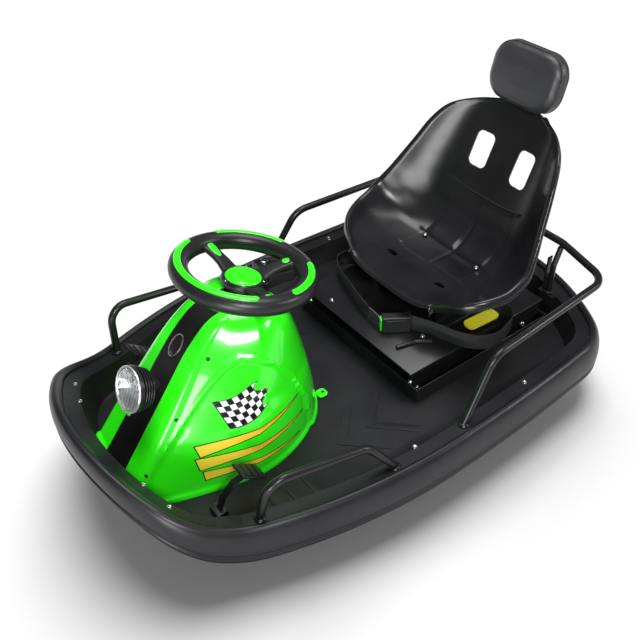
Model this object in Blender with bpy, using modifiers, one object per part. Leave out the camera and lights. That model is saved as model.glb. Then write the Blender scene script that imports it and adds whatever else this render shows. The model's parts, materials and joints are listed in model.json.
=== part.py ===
"""A low electric go-kart for children, of the drifting kind.

Metres, +Z up, the nose towards -Y and the driver's left towards +X. The origin
lies on the ground under the middle of the kart. One driven wheel under the cowl
is turned by the steering column, and two swivelling casters carry the tail.
"""

import math

import bmesh
import bpy
from mathutils import Matrix, Vector

# Clearances between pieces
SEAT_GAP = 0.0003
SLOPE_GAP = 0.0007
RUNNING_GAP = 0.0005

# Lengths that follow each other from the nose to the tail
NOSE_MARGIN = 0.034
COWL_LENGTH = 0.455
LEG_ROOM = 0.145
BASE_LENGTH = 0.383
TAIL_MARGIN = 0.139
LENGTH = NOSE_MARGIN + COWL_LENGTH + LEG_ROOM + BASE_LENGTH + TAIL_MARGIN

# The places along the kart that its pieces are measured from
NOSE_Y = -LENGTH / 2
COWL_FRONT = NOSE_Y + NOSE_MARGIN
COWL_REAR = COWL_FRONT + COWL_LENGTH
BASE_FRONT = COWL_REAR + LEG_ROOM
BASE_REAR = BASE_FRONT + BASE_LENGTH
TAIL_Y = LENGTH / 2

# Plan of the body, as tangent arcs
HALF_WIDTH = 0.367
WIDEST_Y = NOSE_Y + 0.588
NOSE_RADIUS = 0.455
FRONT_CORNER_RADIUS = 0.154
FRONT_FLANK_RADIUS = 1.2
REAR_FLANK_RADIUS = 4.25
REAR_CORNER_RADIUS = 0.137
TAIL_RADIUS = 0.547

# How far the bumper and the ledge climb to the nose, and where the climb starts
NOSE_RISE = 0.130
RISE_START = COWL_FRONT + 0.178

# Bumper ring
BUMPER_UNDER = 0.066
BUMPER_HEIGHT = 0.085
BUMPER_WIDTH = 0.026

# Floor tray
FLOOR_TOP = 0.095
FLOOR_WALL = 0.0045
LEDGE_TOP = 0.1425
LEDGE_WIDTH = 0.028
LEDGE_SLOPE = 0.016
WHEEL_OPENING_RADIUS = 0.094

# Raised marks on the floor
MARK_HEIGHT = 0.0015
MARK_ROOT = 0.001
CHEVRON_X = HALF_WIDTH - 0.183
CHEVRON_SPAN = 0.074
CHEVRON_DEPTH = 0.076
CHEVRON_ARM = 0.012
CHEVRON_PITCH = 0.072
CHEVRON_FRONT_Y = COWL_REAR - 0.049
RIB_PITCH = 0.038
RIB_FRONT_Y = COWL_FRONT + 0.230
RIB_INNER_X = HALF_WIDTH - 0.157
RIB_OUTER_X = HALF_WIDTH - 0.113
RIB_WIDTH = 0.005
RIBS = 3

# Steel frame under the floor
FRAME_TUBE = 0.020
FRAME_RAIL_X = 0.120
FRAME_FRONT_Y = COWL_FRONT + 0.125
FRAME_MIDDLE_Y = BASE_FRONT - 0.015
FRAME_REAR_Y = BASE_REAR - 0.043

# Steering
WHEEL_CENTRE_Y = COWL_FRONT + 0.3438
WHEEL_CENTRE_Z = 0.4325
STEERING_RAKE = math.radians(12.9)
RIM_RADIUS = 0.1155
RIM_TUBE_RADIUS = 0.0175
HUB_DROP = 0.0111
HUB_RADIUS = 0.040
HUB_HEIGHT = 0.0145
HUB_CAP_RADIUS = 0.033
HUB_CAP_HEIGHT = 0.006
# Spokes, by their angle about the column from the driver's left
SPOKES = (("left", -6.0), ("rear", 90.0), ("right", 186.0))
SPOKE_WIDTH = 0.034
SPOKE_WAIST = 0.026
SPOKE_THICKNESS = 0.011
GRIP_THICKNESS = 0.0016
# Where an inlay lies on the rim's section, as angles from its outer side
GRIP_ANGLES = (68.0, 77.0, 86.0, 95.0)
# Columns: name, first and last angle about the column from the driver's left
INLAYS = (("rim_inlay_front", 205, 338), ("rim_inlay_left", 9, 69), ("rim_inlay_right", 109, 175))
INLAY_STEP = 9
COLUMN_RADIUS = 0.012
BRIDGE_WIDTH = 0.210
BRIDGE_PLATE = 0.004
BRIDGE_DEPTH = 0.040
BRIDGE_TOP = 0.188
BRIDGE_TUBE_RADIUS = 0.020
BRIDGE_TUBE_LENGTH = 0.045
BRIDGE_FOOT = 0.018
BRIDGE_TAPER = 0.86

# Driven wheel
DRIVE_RADIUS = 0.075
DRIVE_WIDTH = 0.045
TYRE_WALL = 0.018
HUB_MOTOR_WIDTH = 0.036
AXLE_RADIUS = 0.006
FORK_GAP = 0.006
FORK_PLATE = 0.005
FORK_LEG_WIDTH = 0.030
CROWN_ABOVE_TYRE = 0.008
CROWN_LIP = 0.004
FORK_END_STEPS = 8
AXLE_PAST_FORK = 0.006

# Casters
CASTER_X = HALF_WIDTH - 0.101
CASTER_TRAIL = 0.025
CASTER_TURN = math.radians(42.0)
CASTER_RADIUS = 0.025
CASTER_WIDTH = 0.020
CASTER_PLATE = 0.0025
CASTER_LEG_WIDTH = 0.016
CASTER_SIDE_GAP = 0.002
CASTER_TOP_RADIUS = 0.019
CASTER_TOP_HEIGHT = 0.006
CASTER_AXLE_RADIUS = 0.003

# Cowl
STRIP_FOOT_HALF = 0.035
STRIP_TOP_HALF = 0.026
COWL_WALL = 0.0035
COWL_TOP = 0.393
COWL_BULGE = 0.005
COWL_BULGE_TOP = 0.235
SEAM_GAP = 0.0006
SEAM_LAND = 0.006
# Solidify's side on which each sheet's wall lies
COWL_SIDE = -1.0
STRIP_SIDE = -1.0
SEAT_SIDE = -1.0

# Lamp
LAMP_FACE_Y = COWL_FRONT + 0.090
LAMP_FACE_Z = 0.2945
LAMP_TILT = math.radians(23.0)
LAMP_RADIUS = 0.043
LAMP_DEPTH = 0.046
LAMP_LENS_RADIUS = 0.039
LAMP_LENS_DEPTH = 0.006
LAMP_FINS = 3
LAMP_FIN_DEPTH = 0.004
LAMP_BEZEL_DEPTH = 0.011
LAMP_NECK_RADIUS = 0.013
LAMP_NECK_LENGTH = 0.030

# Control box on the cowl
CONTROL_X = -0.040
CONTROL_Y = COWL_FRONT + 0.431
CONTROL_SIZE = (0.062, 0.060, 0.026)
CONTROL_Z = 0.371

# Pedals
PEDAL_X = HALF_WIDTH - 0.188
PEDAL_FOOT_Y = COWL_FRONT + 0.144
PEDAL_PAD = (0.040, 0.058, 0.006)
PEDAL_PAD_CENTRE = (HALF_WIDTH - 0.1705, COWL_FRONT + 0.2035, 0.180)
PEDAL_PAD_TILT = math.radians(-37.0)
PEDAL_ARM_WIDTH = 0.016
PEDAL_ARM_THICKNESS = 0.005
PEDAL_BLOCK = (0.030, 0.024, 0.010)
# The arm's sections from the foot. Columns: share of the way to the pad, height above that line
PEDAL_ARM_SHAPE = ((0.0, 0.0), (0.35, 0.012), (0.7, 0.012), (1.0, 0.0))

# Tubes
TUBE_RADIUS = 0.008
TUBE_FOOT_RADIUS = 0.011
TUBE_FOOT_HEIGHT = 0.0035
HOOP_BEND = 0.035
RAIL_BEND = 0.050
RAIL_TOP = 0.265
RAIL_FOOT_Y = BASE_FRONT - 0.001
RAIL_FRONT_X = HALF_WIDTH - 0.055
RAIL_FRONT_Y = BASE_FRONT + 0.075
RAIL_CORNER_X = HALF_WIDTH - 0.077
RAIL_CORNER_Y = TAIL_Y - 0.104
RAIL_REAR_X = 0.150
RAIL_REAR_Y = TAIL_Y - 0.068
HOOP_TOP = 0.245
HOOP_REAR_TOP = 0.205
# How far the hoop's corners lie from above its feet, across and along
HOOP_LEAN = (0.018, 0.010)
HOOP_REAR_LEAN = (0.024, 0.046)
HOOP_FRONT_Y = COWL_FRONT + 0.176
HOOP_REAR_Y = COWL_REAR - 0.023
FOOT_EDGE = TUBE_FOOT_RADIUS + 2 * SEAT_GAP
HOOP_INSET = BUMPER_WIDTH + FOOT_EDGE
RAIL_INSET = BUMPER_WIDTH + LEDGE_WIDTH - FOOT_EDGE
POST_X = 0.153
POST_Y = TAIL_Y - 0.088
POST_BLOCK = (0.044, 0.034)
POST_BLOCK_RISE = 0.001
POST_TOP_SETBACK = 0.009
POST_BEND = 0.030
POST_RADIUS = 0.0065

# Seat base
BASE_HALF_WIDTH = 0.195
BASE_HEIGHT = 0.034
BASE_WALL = 0.003
BATTERY_HALF_WIDTH = 0.150
BATTERY_FRONT = BASE_FRONT + 0.040
BATTERY_REAR = BASE_REAR - 0.023
BATTERY_LID_GAP = 0.0006
TOP_PLATE_Z = 0.1615
TOP_PLATE_HALF_WIDTH = 0.178
TOP_PLATE_FRONT = BASE_FRONT - 0.0035
TOP_PLATE_WALL = 0.004
STAND_HALF_WIDTH = 0.095
STAND_FRONT = BASE_FRONT + 0.140
STAND_REAR = BASE_FRONT + 0.270
STAND_WALL = 0.003
STAND_FOOT = 0.022
RUNNER_X = 0.168
RUNNER_WIDTH = 0.014
RUNNER_INSET = 0.006
RUNNER_SINK = 0.001
TAB_SIZE = (0.030, 0.082, 0.005)
TAB_CENTRE = (0.152, BASE_FRONT + 0.217)
TAB_LIFT = 0.012
TAB_CORNER = 0.011
TAB_TURN = math.radians(-4.0)
TAB_FOOT = (0.018, 0.014)
TAB_FOOT_BACK = 0.030
RELEASE_ROD_RADIUS = 0.0042

# Seat
SEAT_WALL = 0.004
SEAT_WELD = 0.0006
SEAT_LIP_WIDTH = 0.014
SEAT_LIP_DROP = 0.012
SLOT_X = 0.0576
SLOT_Y = BASE_FRONT + 0.3955
SLOT_Z = 0.4228
SLOT_WIDTH = 0.047
SLOT_LENGTH = 0.077
SLOT_CORNER = 0.013
SLOT_CUT = 0.12
PAN_HOLE_X = 0.0745
PAN_HOLE_Y = BASE_FRONT + 0.1635
PAN_HOLE_Z = 0.243
PAN_HOLE_LENGTH = 0.026
PAN_HOLE_WIDTH = 0.013
BACK_LEAN = math.radians(24.0)

# Headrest
HEADREST_WIDTH = 0.182
HEADREST_HEIGHT = 0.123
HEADREST_THICKNESS = 0.052
HEADREST_CORNER = 0.046
HEADREST_Y = BASE_FRONT + 0.441
HEADREST_Z = 0.596
HEADREST_LEAN = math.radians(14.0)
# Columns: share of the half thickness from the middle, share of the outline's size
HEADREST_STATIONS = (
    (-1.00, 0.62),
    (-0.86, 0.84),
    (-0.45, 0.97),
    (0.10, 1.00),
    (0.60, 0.97),
    (0.90, 0.86),
    (1.00, 0.70),
)
BRACKET_WIDTH = 0.060
BRACKET_THICKNESS = 0.005
BRACKET_LOW_Z = 0.390
# How far under the pad's middle the bracket ends, as a share of the pad's height
BRACKET_TOP_SHARE = 0.15

# Harness
WEB_WIDTH = 0.038
WEB_THICKNESS = 0.0024
BUCKLE_SIZE = (0.062, 0.020, 0.040)
BUCKLE_X = 0.056
BUCKLE_Y = BASE_FRONT + 0.063
BUCKLE_TURN = math.radians(56.0)
TONGUE_LENGTH = 0.046
TONGUE_THICKNESS = 0.003
TONGUE_HEIGHT = 0.030
TONGUE_RISE = 0.004
# The two straps as seen from above, from the buckle outwards. Columns: across, and the
# distance behind the base's front
BELT_LEFT = (
    (0.105, 0.106),
    (0.140, 0.120),
    (0.175, 0.133),
    (0.205, 0.155),
    (0.220, 0.187),
    (0.214, 0.223),
    (0.203, 0.253),
    (0.184, 0.269),
    (0.158, 0.273),
)
BELT_RIGHT = (
    (-0.070, 0.054),
    (-0.120, 0.067),
    (-0.165, 0.083),
    (-0.190, 0.105),
    (-0.188, 0.131),
    (-0.165, 0.145),
    (-0.130, 0.151),
)

# Stands a flat outline on edge, its across along +Y and its up along +Z
SIDEWAYS = Matrix(((0, 0, 1, 0), (1, 0, 0, 0), (0, 1, 0, 0), (0, 0, 0, 1)))

# Colour, roughness and metallic value of each finish
FINISHES = {
    "bumper_black": ((0.020, 0.020, 0.021), 0.38, 0.0),
    "tray_black": ((0.026, 0.026, 0.027), 0.50, 0.0),
    "cowl_green": ((0.045, 0.680, 0.012), 0.16, 0.0),
    "strip_black": ((0.022, 0.022, 0.023), 0.40, 0.0),
    "frame_black": ((0.018, 0.018, 0.019), 0.35, 0.3),
    "seat_black": ((0.016, 0.016, 0.017), 0.28, 0.0),
    "pad_black": ((0.030, 0.030, 0.031), 0.55, 0.0),
    "rim_black": ((0.024, 0.024, 0.025), 0.60, 0.0),
    "lamp_black": ((0.020, 0.020, 0.020), 0.40, 0.2),
    "lens_clear": ((0.86, 0.88, 0.88), 0.08, 0.0),
    "steel": ((0.55, 0.55, 0.56), 0.30, 1.0),
    "tab_yellow": ((0.86, 0.78, 0.03), 0.40, 0.0),
    "webbing_black": ((0.020, 0.020, 0.020), 0.80, 0.0),
    "tyre_black": ((0.018, 0.018, 0.018), 0.75, 0.0),
    "caster_white": ((0.84, 0.84, 0.82), 0.45, 0.0),
    "battery_grey": ((0.10, 0.10, 0.11), 0.60, 0.0),
}


def clear_scene():
    for leftover in list(bpy.data.objects):
        bpy.data.objects.remove(leftover, do_unlink=True)


def make_collection(name):
    collection = bpy.data.collections.new(name)
    bpy.context.scene.collection.children.link(collection)
    return collection


def finish_material(name):
    material = bpy.data.materials.get(name)
    if material:
        return material
    colour, roughness, metallic = FINISHES[name]
    material = bpy.data.materials.new(name)
    material.use_nodes = True
    shader = material.node_tree.nodes["Principled BSDF"]
    shader.inputs["Base Color"].default_value = (*colour, 1.0)
    shader.inputs["Roughness"].default_value = roughness
    shader.inputs["Metallic"].default_value = metallic
    return material


def add_object(name, data, finish):
    obj = bpy.data.objects.new(name, data)
    KART.objects.link(obj)
    data.materials.clear()
    data.materials.append(finish_material(finish))
    return obj


def add_bmesh(name, shape, finish, smooth_angle=35.0):
    """Makes an object of a bmesh, with its faces turned outwards."""
    bmesh.ops.recalc_face_normals(shape, faces=shape.faces)
    mesh = bpy.data.meshes.new(name)
    shape.to_mesh(mesh)
    shape.free()
    mesh.shade_smooth()
    mesh.set_sharp_from_angle(angle=math.radians(smooth_angle))
    return add_object(name, mesh, finish)


def bake(obj, smooth_angle=35.0):
    """Applies an object's modifiers, welds its seams and turns its faces outwards."""
    bpy.context.view_layer.update()
    graph = bpy.context.evaluated_depsgraph_get()
    mesh = bpy.data.meshes.new_from_object(obj.evaluated_get(graph))
    shape = bmesh.new()
    shape.from_mesh(mesh)
    bmesh.ops.remove_doubles(shape, verts=shape.verts, dist=0.00001)
    bmesh.ops.recalc_face_normals(shape, faces=shape.faces)
    shape.to_mesh(mesh)
    shape.free()
    mesh.shade_smooth()
    mesh.set_sharp_from_angle(angle=math.radians(smooth_angle))
    name, world = obj.name, obj.matrix_world.copy()
    finish = obj.data.materials[0].name
    bpy.data.objects.remove(obj, do_unlink=True)
    made = add_object(name, mesh, finish)
    made.matrix_world = world
    return made


def combine(obj, tools, operation):
    """Joins tools to an object, or cuts them from it, and drops the tools."""
    for tool in tools:
        boolean = obj.modifiers.new(operation.title(), "BOOLEAN")
        boolean.operation = operation
        boolean.object = tool
    result = bake(obj)
    for tool in tools:
        bpy.data.objects.remove(tool, do_unlink=True)
    return result


def join(obj, *tools):
    return combine(obj, tools, "UNION")


def cut(obj, *tools):
    return combine(obj, tools, "DIFFERENCE")


def weld(obj, reach):
    """Joins a piece's points that lie closer together than reach."""
    shape = bmesh.new()
    shape.from_mesh(obj.data)
    bmesh.ops.remove_doubles(shape, verts=shape.verts, dist=reach)
    bmesh.ops.dissolve_degenerate(shape, edges=shape.edges, dist=reach / 10)
    bmesh.ops.triangulate(shape, faces=shape.faces)
    shape.to_mesh(obj.data)
    shape.free()


def set_pivot(obj, point):
    """Puts a moving piece's origin on its joint's axis."""
    obj.data.transform(Matrix.Translation(-Vector(point)) @ obj.matrix_world)
    obj.matrix_world = Matrix.Translation(Vector(point))


def box(name, low, high, finish, bevel=0.0):
    """A box between two corners, with its edges rounded by bevel."""
    low, high = Vector(low), Vector(high)
    shape = bmesh.new()
    size = Matrix.Diagonal((*(high - low), 1.0))
    bmesh.ops.create_cube(shape, size=1.0, matrix=Matrix.Translation((low + high) / 2) @ size)
    obj = add_bmesh(name, shape, finish)
    if bevel:
        rounding = obj.modifiers.new("Rounding", "BEVEL")
        rounding.width = bevel
        rounding.segments = 2
        obj = bake(obj)
    return obj


def placed_box(name, size, matrix, finish, bevel=0.0):
    """A box centred on a matrix."""
    half = Vector(size) / 2
    obj = box(name, -half, half, finish, bevel)
    obj.data.transform(matrix)
    return obj


def along(start, end):
    """A matrix at start whose Z points to end, and the distance to it."""
    start, end = Vector(start), Vector(end)
    turn = (end - start).to_track_quat("Z", "Y").to_matrix().to_4x4()
    return Matrix.Translation(start) @ turn, (end - start).length


def rod(name, start, end, radius, finish, sides=20, end_radius=None):
    """A cylinder or a cone from start to end."""
    matrix, length = along(start, end)
    shape = bmesh.new()
    bmesh.ops.create_cone(
        shape,
        cap_ends=True,
        segments=sides,
        radius1=radius,
        radius2=radius if end_radius is None else end_radius,
        depth=length,
        matrix=matrix @ Matrix.Translation((0, 0, length / 2)),
    )
    return add_bmesh(name, shape, finish)


def turned(name, profile, matrix, finish, steps=32, closed=False):
    """A profile of (radius, height) rows turned about a matrix's Z axis."""
    shape = bmesh.new()
    points = [shape.verts.new((radius, 0.0, height)) for radius, height in profile]
    for first, second in zip(points, points[1:]):
        shape.edges.new((first, second))
    if closed:
        shape.edges.new((points[-1], points[0]))
    mesh = bpy.data.meshes.new(name)
    shape.to_mesh(mesh)
    shape.free()
    obj = add_object(name, mesh, finish)
    screw = obj.modifiers.new("Turn", "SCREW")
    screw.steps = steps
    screw.render_steps = steps
    screw.use_merge_vertices = True
    screw.merge_threshold = 0.00001
    obj = bake(obj)
    obj.data.transform(matrix)
    return obj


def plate(name, outlines, thickness, matrix, finish):
    """A flat outline with holes, given by its later outlines, centred on a matrix's plane."""
    curve = bpy.data.curves.new(name, "CURVE")
    curve.dimensions = "2D"
    curve.fill_mode = "BOTH"
    curve.extrude = thickness / 2
    for outline in outlines:
        spline = curve.splines.new("POLY")
        spline.points.add(len(outline) - 1)
        for point, (across, up) in zip(spline.points, outline):
            point.co = (across, up, 0.0, 1.0)
        spline.use_cyclic_u = True
    obj = bake(add_object(name, curve, finish))
    obj.data.transform(matrix)
    return obj


def rounded_path(corners, radius, steps=5):
    """The points of a path whose inner corners are bent to arcs of one radius."""
    corners = [Vector(corner) for corner in corners]
    path = [corners[0]]
    for before, corner, after in zip(corners, corners[1:], corners[2:]):
        to_before = (before - corner).normalized()
        to_after = (after - corner).normalized()
        half = to_before.angle(to_after) / 2
        shorter = min((before - corner).length, (after - corner).length)
        reach = min(radius / math.tan(half), 0.49 * shorter)
        centre = corner + (to_before + to_after).normalized() * reach / math.cos(half)
        first, last = corner + to_before * reach - centre, corner + to_after * reach - centre
        turn = first.angle(last)
        for step in range(steps + 1):
            share = step / steps
            arm = first * math.sin((1 - share) * turn) + last * math.sin(share * turn)
            path.append(centre + arm / math.sin(turn))
    path.append(corners[-1])
    return path


def tube(name, path, radius, finish):
    """A round tube along a path."""
    curve = bpy.data.curves.new(name, "CURVE")
    curve.dimensions = "3D"
    curve.bevel_depth = radius
    curve.bevel_resolution = 2
    curve.use_fill_caps = True
    spline = curve.splines.new("POLY")
    spline.points.add(len(path) - 1)
    for point, place in zip(spline.points, path):
        point.co = (*place, 1.0)
    return bake(add_object(name, curve, finish))


def loft(name, rings, finish, closed_rows=False, smooth_angle=35.0):
    """A solid through rings of equally many points, capped or closed end to end."""
    shape = bmesh.new()
    rows = [[shape.verts.new(point) for point in ring] for ring in rings]
    pairs = list(zip(rows, rows[1:]))
    if closed_rows:
        pairs.append((rows[-1], rows[0]))
    else:
        shape.faces.new(rows[0])
        shape.faces.new(rows[-1])
    for lower, upper in pairs:
        for index in range(len(lower)):
            after = (index + 1) % len(lower)
            shape.faces.new((lower[index], lower[after], upper[after], upper[index]))
    return add_bmesh(name, shape, finish, smooth_angle)


def skin(name, rows, thickness, finish, side=-1.0):
    """An open sheet through rows of points, given a wall on one side."""
    shape = bmesh.new()
    grid = [[shape.verts.new(point) for point in row] for row in rows]
    for lower, upper in zip(grid, grid[1:]):
        for index in range(len(lower) - 1):
            shape.faces.new((lower[index], lower[index + 1], upper[index + 1], upper[index]))
    bmesh.ops.remove_doubles(shape, verts=shape.verts, dist=0.00005)
    mesh = bpy.data.meshes.new(name)
    shape.to_mesh(mesh)
    shape.free()
    obj = add_object(name, mesh, finish)
    wall = obj.modifiers.new("Wall", "SOLIDIFY")
    wall.thickness = thickness
    wall.offset = side
    wall.use_even_offset = True
    return bake(obj)


def mirrored(obj, name):
    """A copy of an object on the other side of the kart."""
    mesh = obj.data.copy()
    mesh.transform(Matrix.Diagonal((-1.0, 1.0, 1.0, 1.0)))
    mesh.flip_normals()
    return add_object(name, mesh, obj.data.materials[0].name)


def rounded_rectangle(width, height, radius, steps=3):
    """A rectangle about the origin with its corners rounded."""
    points = []
    for quarter, (side, rise) in enumerate(((1, 1), (-1, 1), (-1, -1), (1, -1))):
        for step in range(steps + 1):
            angle = math.pi / 2 * (quarter + step / steps)
            points.append(
                (
                    side * (width / 2 - radius) + radius * math.cos(angle),
                    rise * (height / 2 - radius) + radius * math.sin(angle),
                )
            )
    return points


def crossing(centre_a, reach_a, centre_b, reach_b, toward):
    """Where two circles cross, on the nose side for -1 and the tail side for +1."""
    gap = Vector(centre_b) - Vector(centre_a)
    along_gap = (reach_a**2 - reach_b**2 + gap.length**2) / (2 * gap.length)
    across_gap = math.sqrt(reach_a**2 - along_gap**2)
    unit = gap.normalized()
    foot = Vector(centre_a) + unit * along_gap
    side = Vector((-unit.y, unit.x)) * across_gap
    return max((foot + side, foot - side), key=lambda place: place.y * toward)


def facing(centre, other):
    """The angle of a direction, from 0 at the nose through +X to pi at the tail."""
    return math.atan2(other[0] - centre[0], centre[1] - other[1])


def plan_arcs():
    """The arcs of the right half of the plan: centre, radius, first and last angle, steps."""
    nose = (0.0, NOSE_Y + NOSE_RADIUS)
    tail = (0.0, TAIL_Y - TAIL_RADIUS)
    front_flank = (HALF_WIDTH - FRONT_FLANK_RADIUS, WIDEST_Y)
    rear_flank = (HALF_WIDTH - REAR_FLANK_RADIUS, WIDEST_Y)
    front_corner = crossing(
        nose, NOSE_RADIUS - FRONT_CORNER_RADIUS, front_flank, FRONT_FLANK_RADIUS - FRONT_CORNER_RADIUS, -1
    )
    rear_corner = crossing(
        tail, TAIL_RADIUS - REAR_CORNER_RADIUS, rear_flank, REAR_FLANK_RADIUS - REAR_CORNER_RADIUS, 1
    )
    nose_end = facing(nose, front_corner)
    flank_start = facing(front_flank, front_corner)
    flank_end = facing(rear_flank, rear_corner)
    tail_start = facing(tail, rear_corner)
    return (
        (nose, NOSE_RADIUS, 0.0, nose_end, 6),
        (front_corner, FRONT_CORNER_RADIUS, nose_end, flank_start, 8),
        (front_flank, FRONT_FLANK_RADIUS, flank_start, math.pi / 2, 10),
        (rear_flank, REAR_FLANK_RADIUS, math.pi / 2, flank_end, 3),
        (rear_corner, REAR_CORNER_RADIUS, flank_end, tail_start, 5),
        (tail, TAIL_RADIUS, tail_start, math.pi, 5),
    )


def nose_rise(forward):
    """How far the bumper and the ledge have climbed at one place along the kart."""
    share = max(0.0, (RISE_START - forward) / (RISE_START - NOSE_Y))
    return NOSE_RISE * share**2


def plan(inset, height, rising=False):
    """The body's outline moved inwards by inset, level or climbing to the nose."""
    right = []
    for centre, radius, start, end, steps in plan_arcs():
        for step in range(steps):
            angle = start + (end - start) * step / steps
            reach = radius - inset
            right.append((centre[0] + reach * math.sin(angle), centre[1] - reach * math.cos(angle)))
    right.append((0.0, TAIL_Y - inset))
    left = [(-across, forward) for across, forward in reversed(right[1:-1])]
    points = []
    for across, forward in right + left:
        rise = nose_rise(forward) if rising else 0.0
        points.append(Vector((across, forward, height + rise)))
    return points


def ledge_place(inset, forward):
    """The point of the ledge at one distance from the outline and one place along the kart."""
    points = plan(inset, LEDGE_TOP, True)
    right = points[: len(points) // 2 + 1]
    for first, second in zip(right, right[1:]):
        if first.y <= forward <= second.y:
            return first.lerp(second, (forward - first.y) / (second.y - first.y))
    raise ValueError("outside the kart's length")


def make_bumper():
    """The soft roll round the whole kart, with a lip along its lower edge."""
    # Columns: share of the width from outside, share of the height
    section = (
        (0.000, 0.60),
        (0.050, 0.76),
        (0.190, 0.90),
        (0.380, 0.98),
        (0.580, 1.00),
        (0.800, 0.97),
        (1.000, (LEDGE_TOP - BUMPER_UNDER) / BUMPER_HEIGHT),
        (1.000, 0.42),
        (0.920, 0.16),
        (0.720, 0.02),
        (0.480, 0.00),
        (0.240, 0.03),
        (0.090, 0.11),
        (0.045, 0.20),
        (0.110, 0.27),
        (0.030, 0.36),
    )
    rings = [plan(across * BUMPER_WIDTH, BUMPER_UNDER + up * BUMPER_HEIGHT, True) for across, up in section]
    loft("bumper_ring", rings, "bumper_black", closed_rows=True, smooth_angle=50)


def chevron(name, forward):
    """A raised V on the floor, pointing to the nose."""
    half, arm = CHEVRON_SPAN, CHEVRON_ARM
    outline = [
        (0.0, 0.0),
        (half, CHEVRON_DEPTH),
        (half - arm, CHEVRON_DEPTH + arm),
        (0.0, 2 * arm),
        (-half + arm, CHEVRON_DEPTH + arm),
        (-half, CHEVRON_DEPTH),
    ]
    height = MARK_HEIGHT + MARK_ROOT
    place = Matrix.Translation((CHEVRON_X, forward, FLOOR_TOP - MARK_ROOT + height / 2))
    return plate(name, [outline], height, place, "tray_black")


def make_tray():
    """The floor with its wall and ledge, the wheel's opening and the raised marks."""
    edge = BUMPER_WIDTH + SEAT_GAP
    wall_top = edge + LEDGE_WIDTH
    wall_foot = wall_top + LEDGE_SLOPE
    under = FLOOR_TOP - FLOOR_WALL
    rings = [
        plan(wall_foot - FLOOR_WALL, under),
        plan(wall_top - FLOOR_WALL, LEDGE_TOP - FLOOR_WALL, True),
        plan(edge, LEDGE_TOP - FLOOR_WALL, True),
        plan(edge, LEDGE_TOP, True),
        plan(wall_top, LEDGE_TOP, True),
        plan(wall_foot, FLOOR_TOP),
    ]
    tray = loft("floor_tray", rings, "tray_black")
    centre = axis_point((WHEEL_CENTRE_Z - FLOOR_TOP) / math.cos(STEERING_RAKE))
    opening = rod(
        "wheel_opening",
        (0, centre.y, under - FRAME_TUBE),
        (0, centre.y, FLOOR_TOP + FRAME_TUBE),
        WHEEL_OPENING_RADIUS,
        "tray_black",
        40,
    )
    marks = []
    for row in range(2):
        mark = chevron(f"chevron_{row}", CHEVRON_FRONT_Y + row * CHEVRON_PITCH)
        marks += [mark, mirrored(mark, f"chevron_mirror_{row}")]
    for row in range(RIBS):
        forward = RIB_FRONT_Y + row * RIB_PITCH
        rib = box(
            f"rib_{row}",
            (RIB_INNER_X, forward - RIB_WIDTH / 2, FLOOR_TOP - MARK_ROOT),
            (RIB_OUTER_X, forward + RIB_WIDTH / 2, FLOOR_TOP + MARK_HEIGHT),
            "tray_black",
        )
        marks += [rib, mirrored(rib, f"rib_mirror_{row}")]
    block_width, block_length = POST_BLOCK
    block_front = POST_Y - TUBE_FOOT_RADIUS - MARK_ROOT
    block_top = LEDGE_TOP + POST_BLOCK_RISE
    for side in (-1, 1):
        marks.append(
            box(
                f"post_block_{side}",
                (side * POST_X - block_width / 2, block_front, FLOOR_TOP - MARK_ROOT),
                (side * POST_X + block_width / 2, block_front + block_length, block_top),
                "tray_black",
            )
        )
    tray = cut(tray, opening)
    join(tray, *marks)


def make_frame():
    """Two rails and three cross-members, with plates for the casters."""
    top = FLOOR_TOP - FLOOR_WALL - SEAT_GAP
    under = top - FRAME_TUBE
    half = FRAME_TUBE / 2
    frame = box(
        "under_frame",
        (-CASTER_X - CASTER_TOP_RADIUS, FRAME_REAR_Y - CASTER_TOP_RADIUS, under),
        (CASTER_X + CASTER_TOP_RADIUS, FRAME_REAR_Y + CASTER_TOP_RADIUS, top),
        "frame_black",
    )
    members = []
    for side in (-1, 1):
        members.append(
            box(
                f"frame_rail_{side}",
                (side * FRAME_RAIL_X - half, FRAME_FRONT_Y - half, under),
                (side * FRAME_RAIL_X + half, FRAME_REAR_Y, top),
                "frame_black",
            )
        )
    for forward in (FRAME_FRONT_Y, FRAME_MIDDLE_Y):
        members.append(
            box(
                f"frame_cross_{forward}",
                (-FRAME_RAIL_X, forward - half, under),
                (FRAME_RAIL_X, forward + half, top),
                "frame_black",
            )
        )
    join(frame, *members)


def steering_frame():
    """A matrix at the steering wheel's centre, with Z up along the column."""
    place = Matrix.Translation((0.0, WHEEL_CENTRE_Y, WHEEL_CENTRE_Z))
    return place @ Matrix.Rotation(-STEERING_RAKE, 4, "X")


def axis_point(drop):
    """The point on the column's axis at a distance below the wheel's centre."""
    return steering_frame() @ Vector((0.0, 0.0, -drop))


def drive_drop():
    """How far down the column's axis the driven wheel's centre lies."""
    return (WHEEL_CENTRE_Z - DRIVE_RADIUS) / math.cos(STEERING_RAKE)


def torus(name, finish, sides=42, tube_sides=8):
    """The steering wheel's round rim."""
    bpy.ops.mesh.primitive_torus_add(
        major_segments=sides, minor_segments=tube_sides, major_radius=RIM_RADIUS, minor_radius=RIM_TUBE_RADIUS
    )
    shape = bmesh.new()
    shape.from_mesh(bpy.context.object.data)
    bpy.data.objects.remove(bpy.context.object, do_unlink=True)
    return add_bmesh(name, shape, finish, 60)


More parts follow.
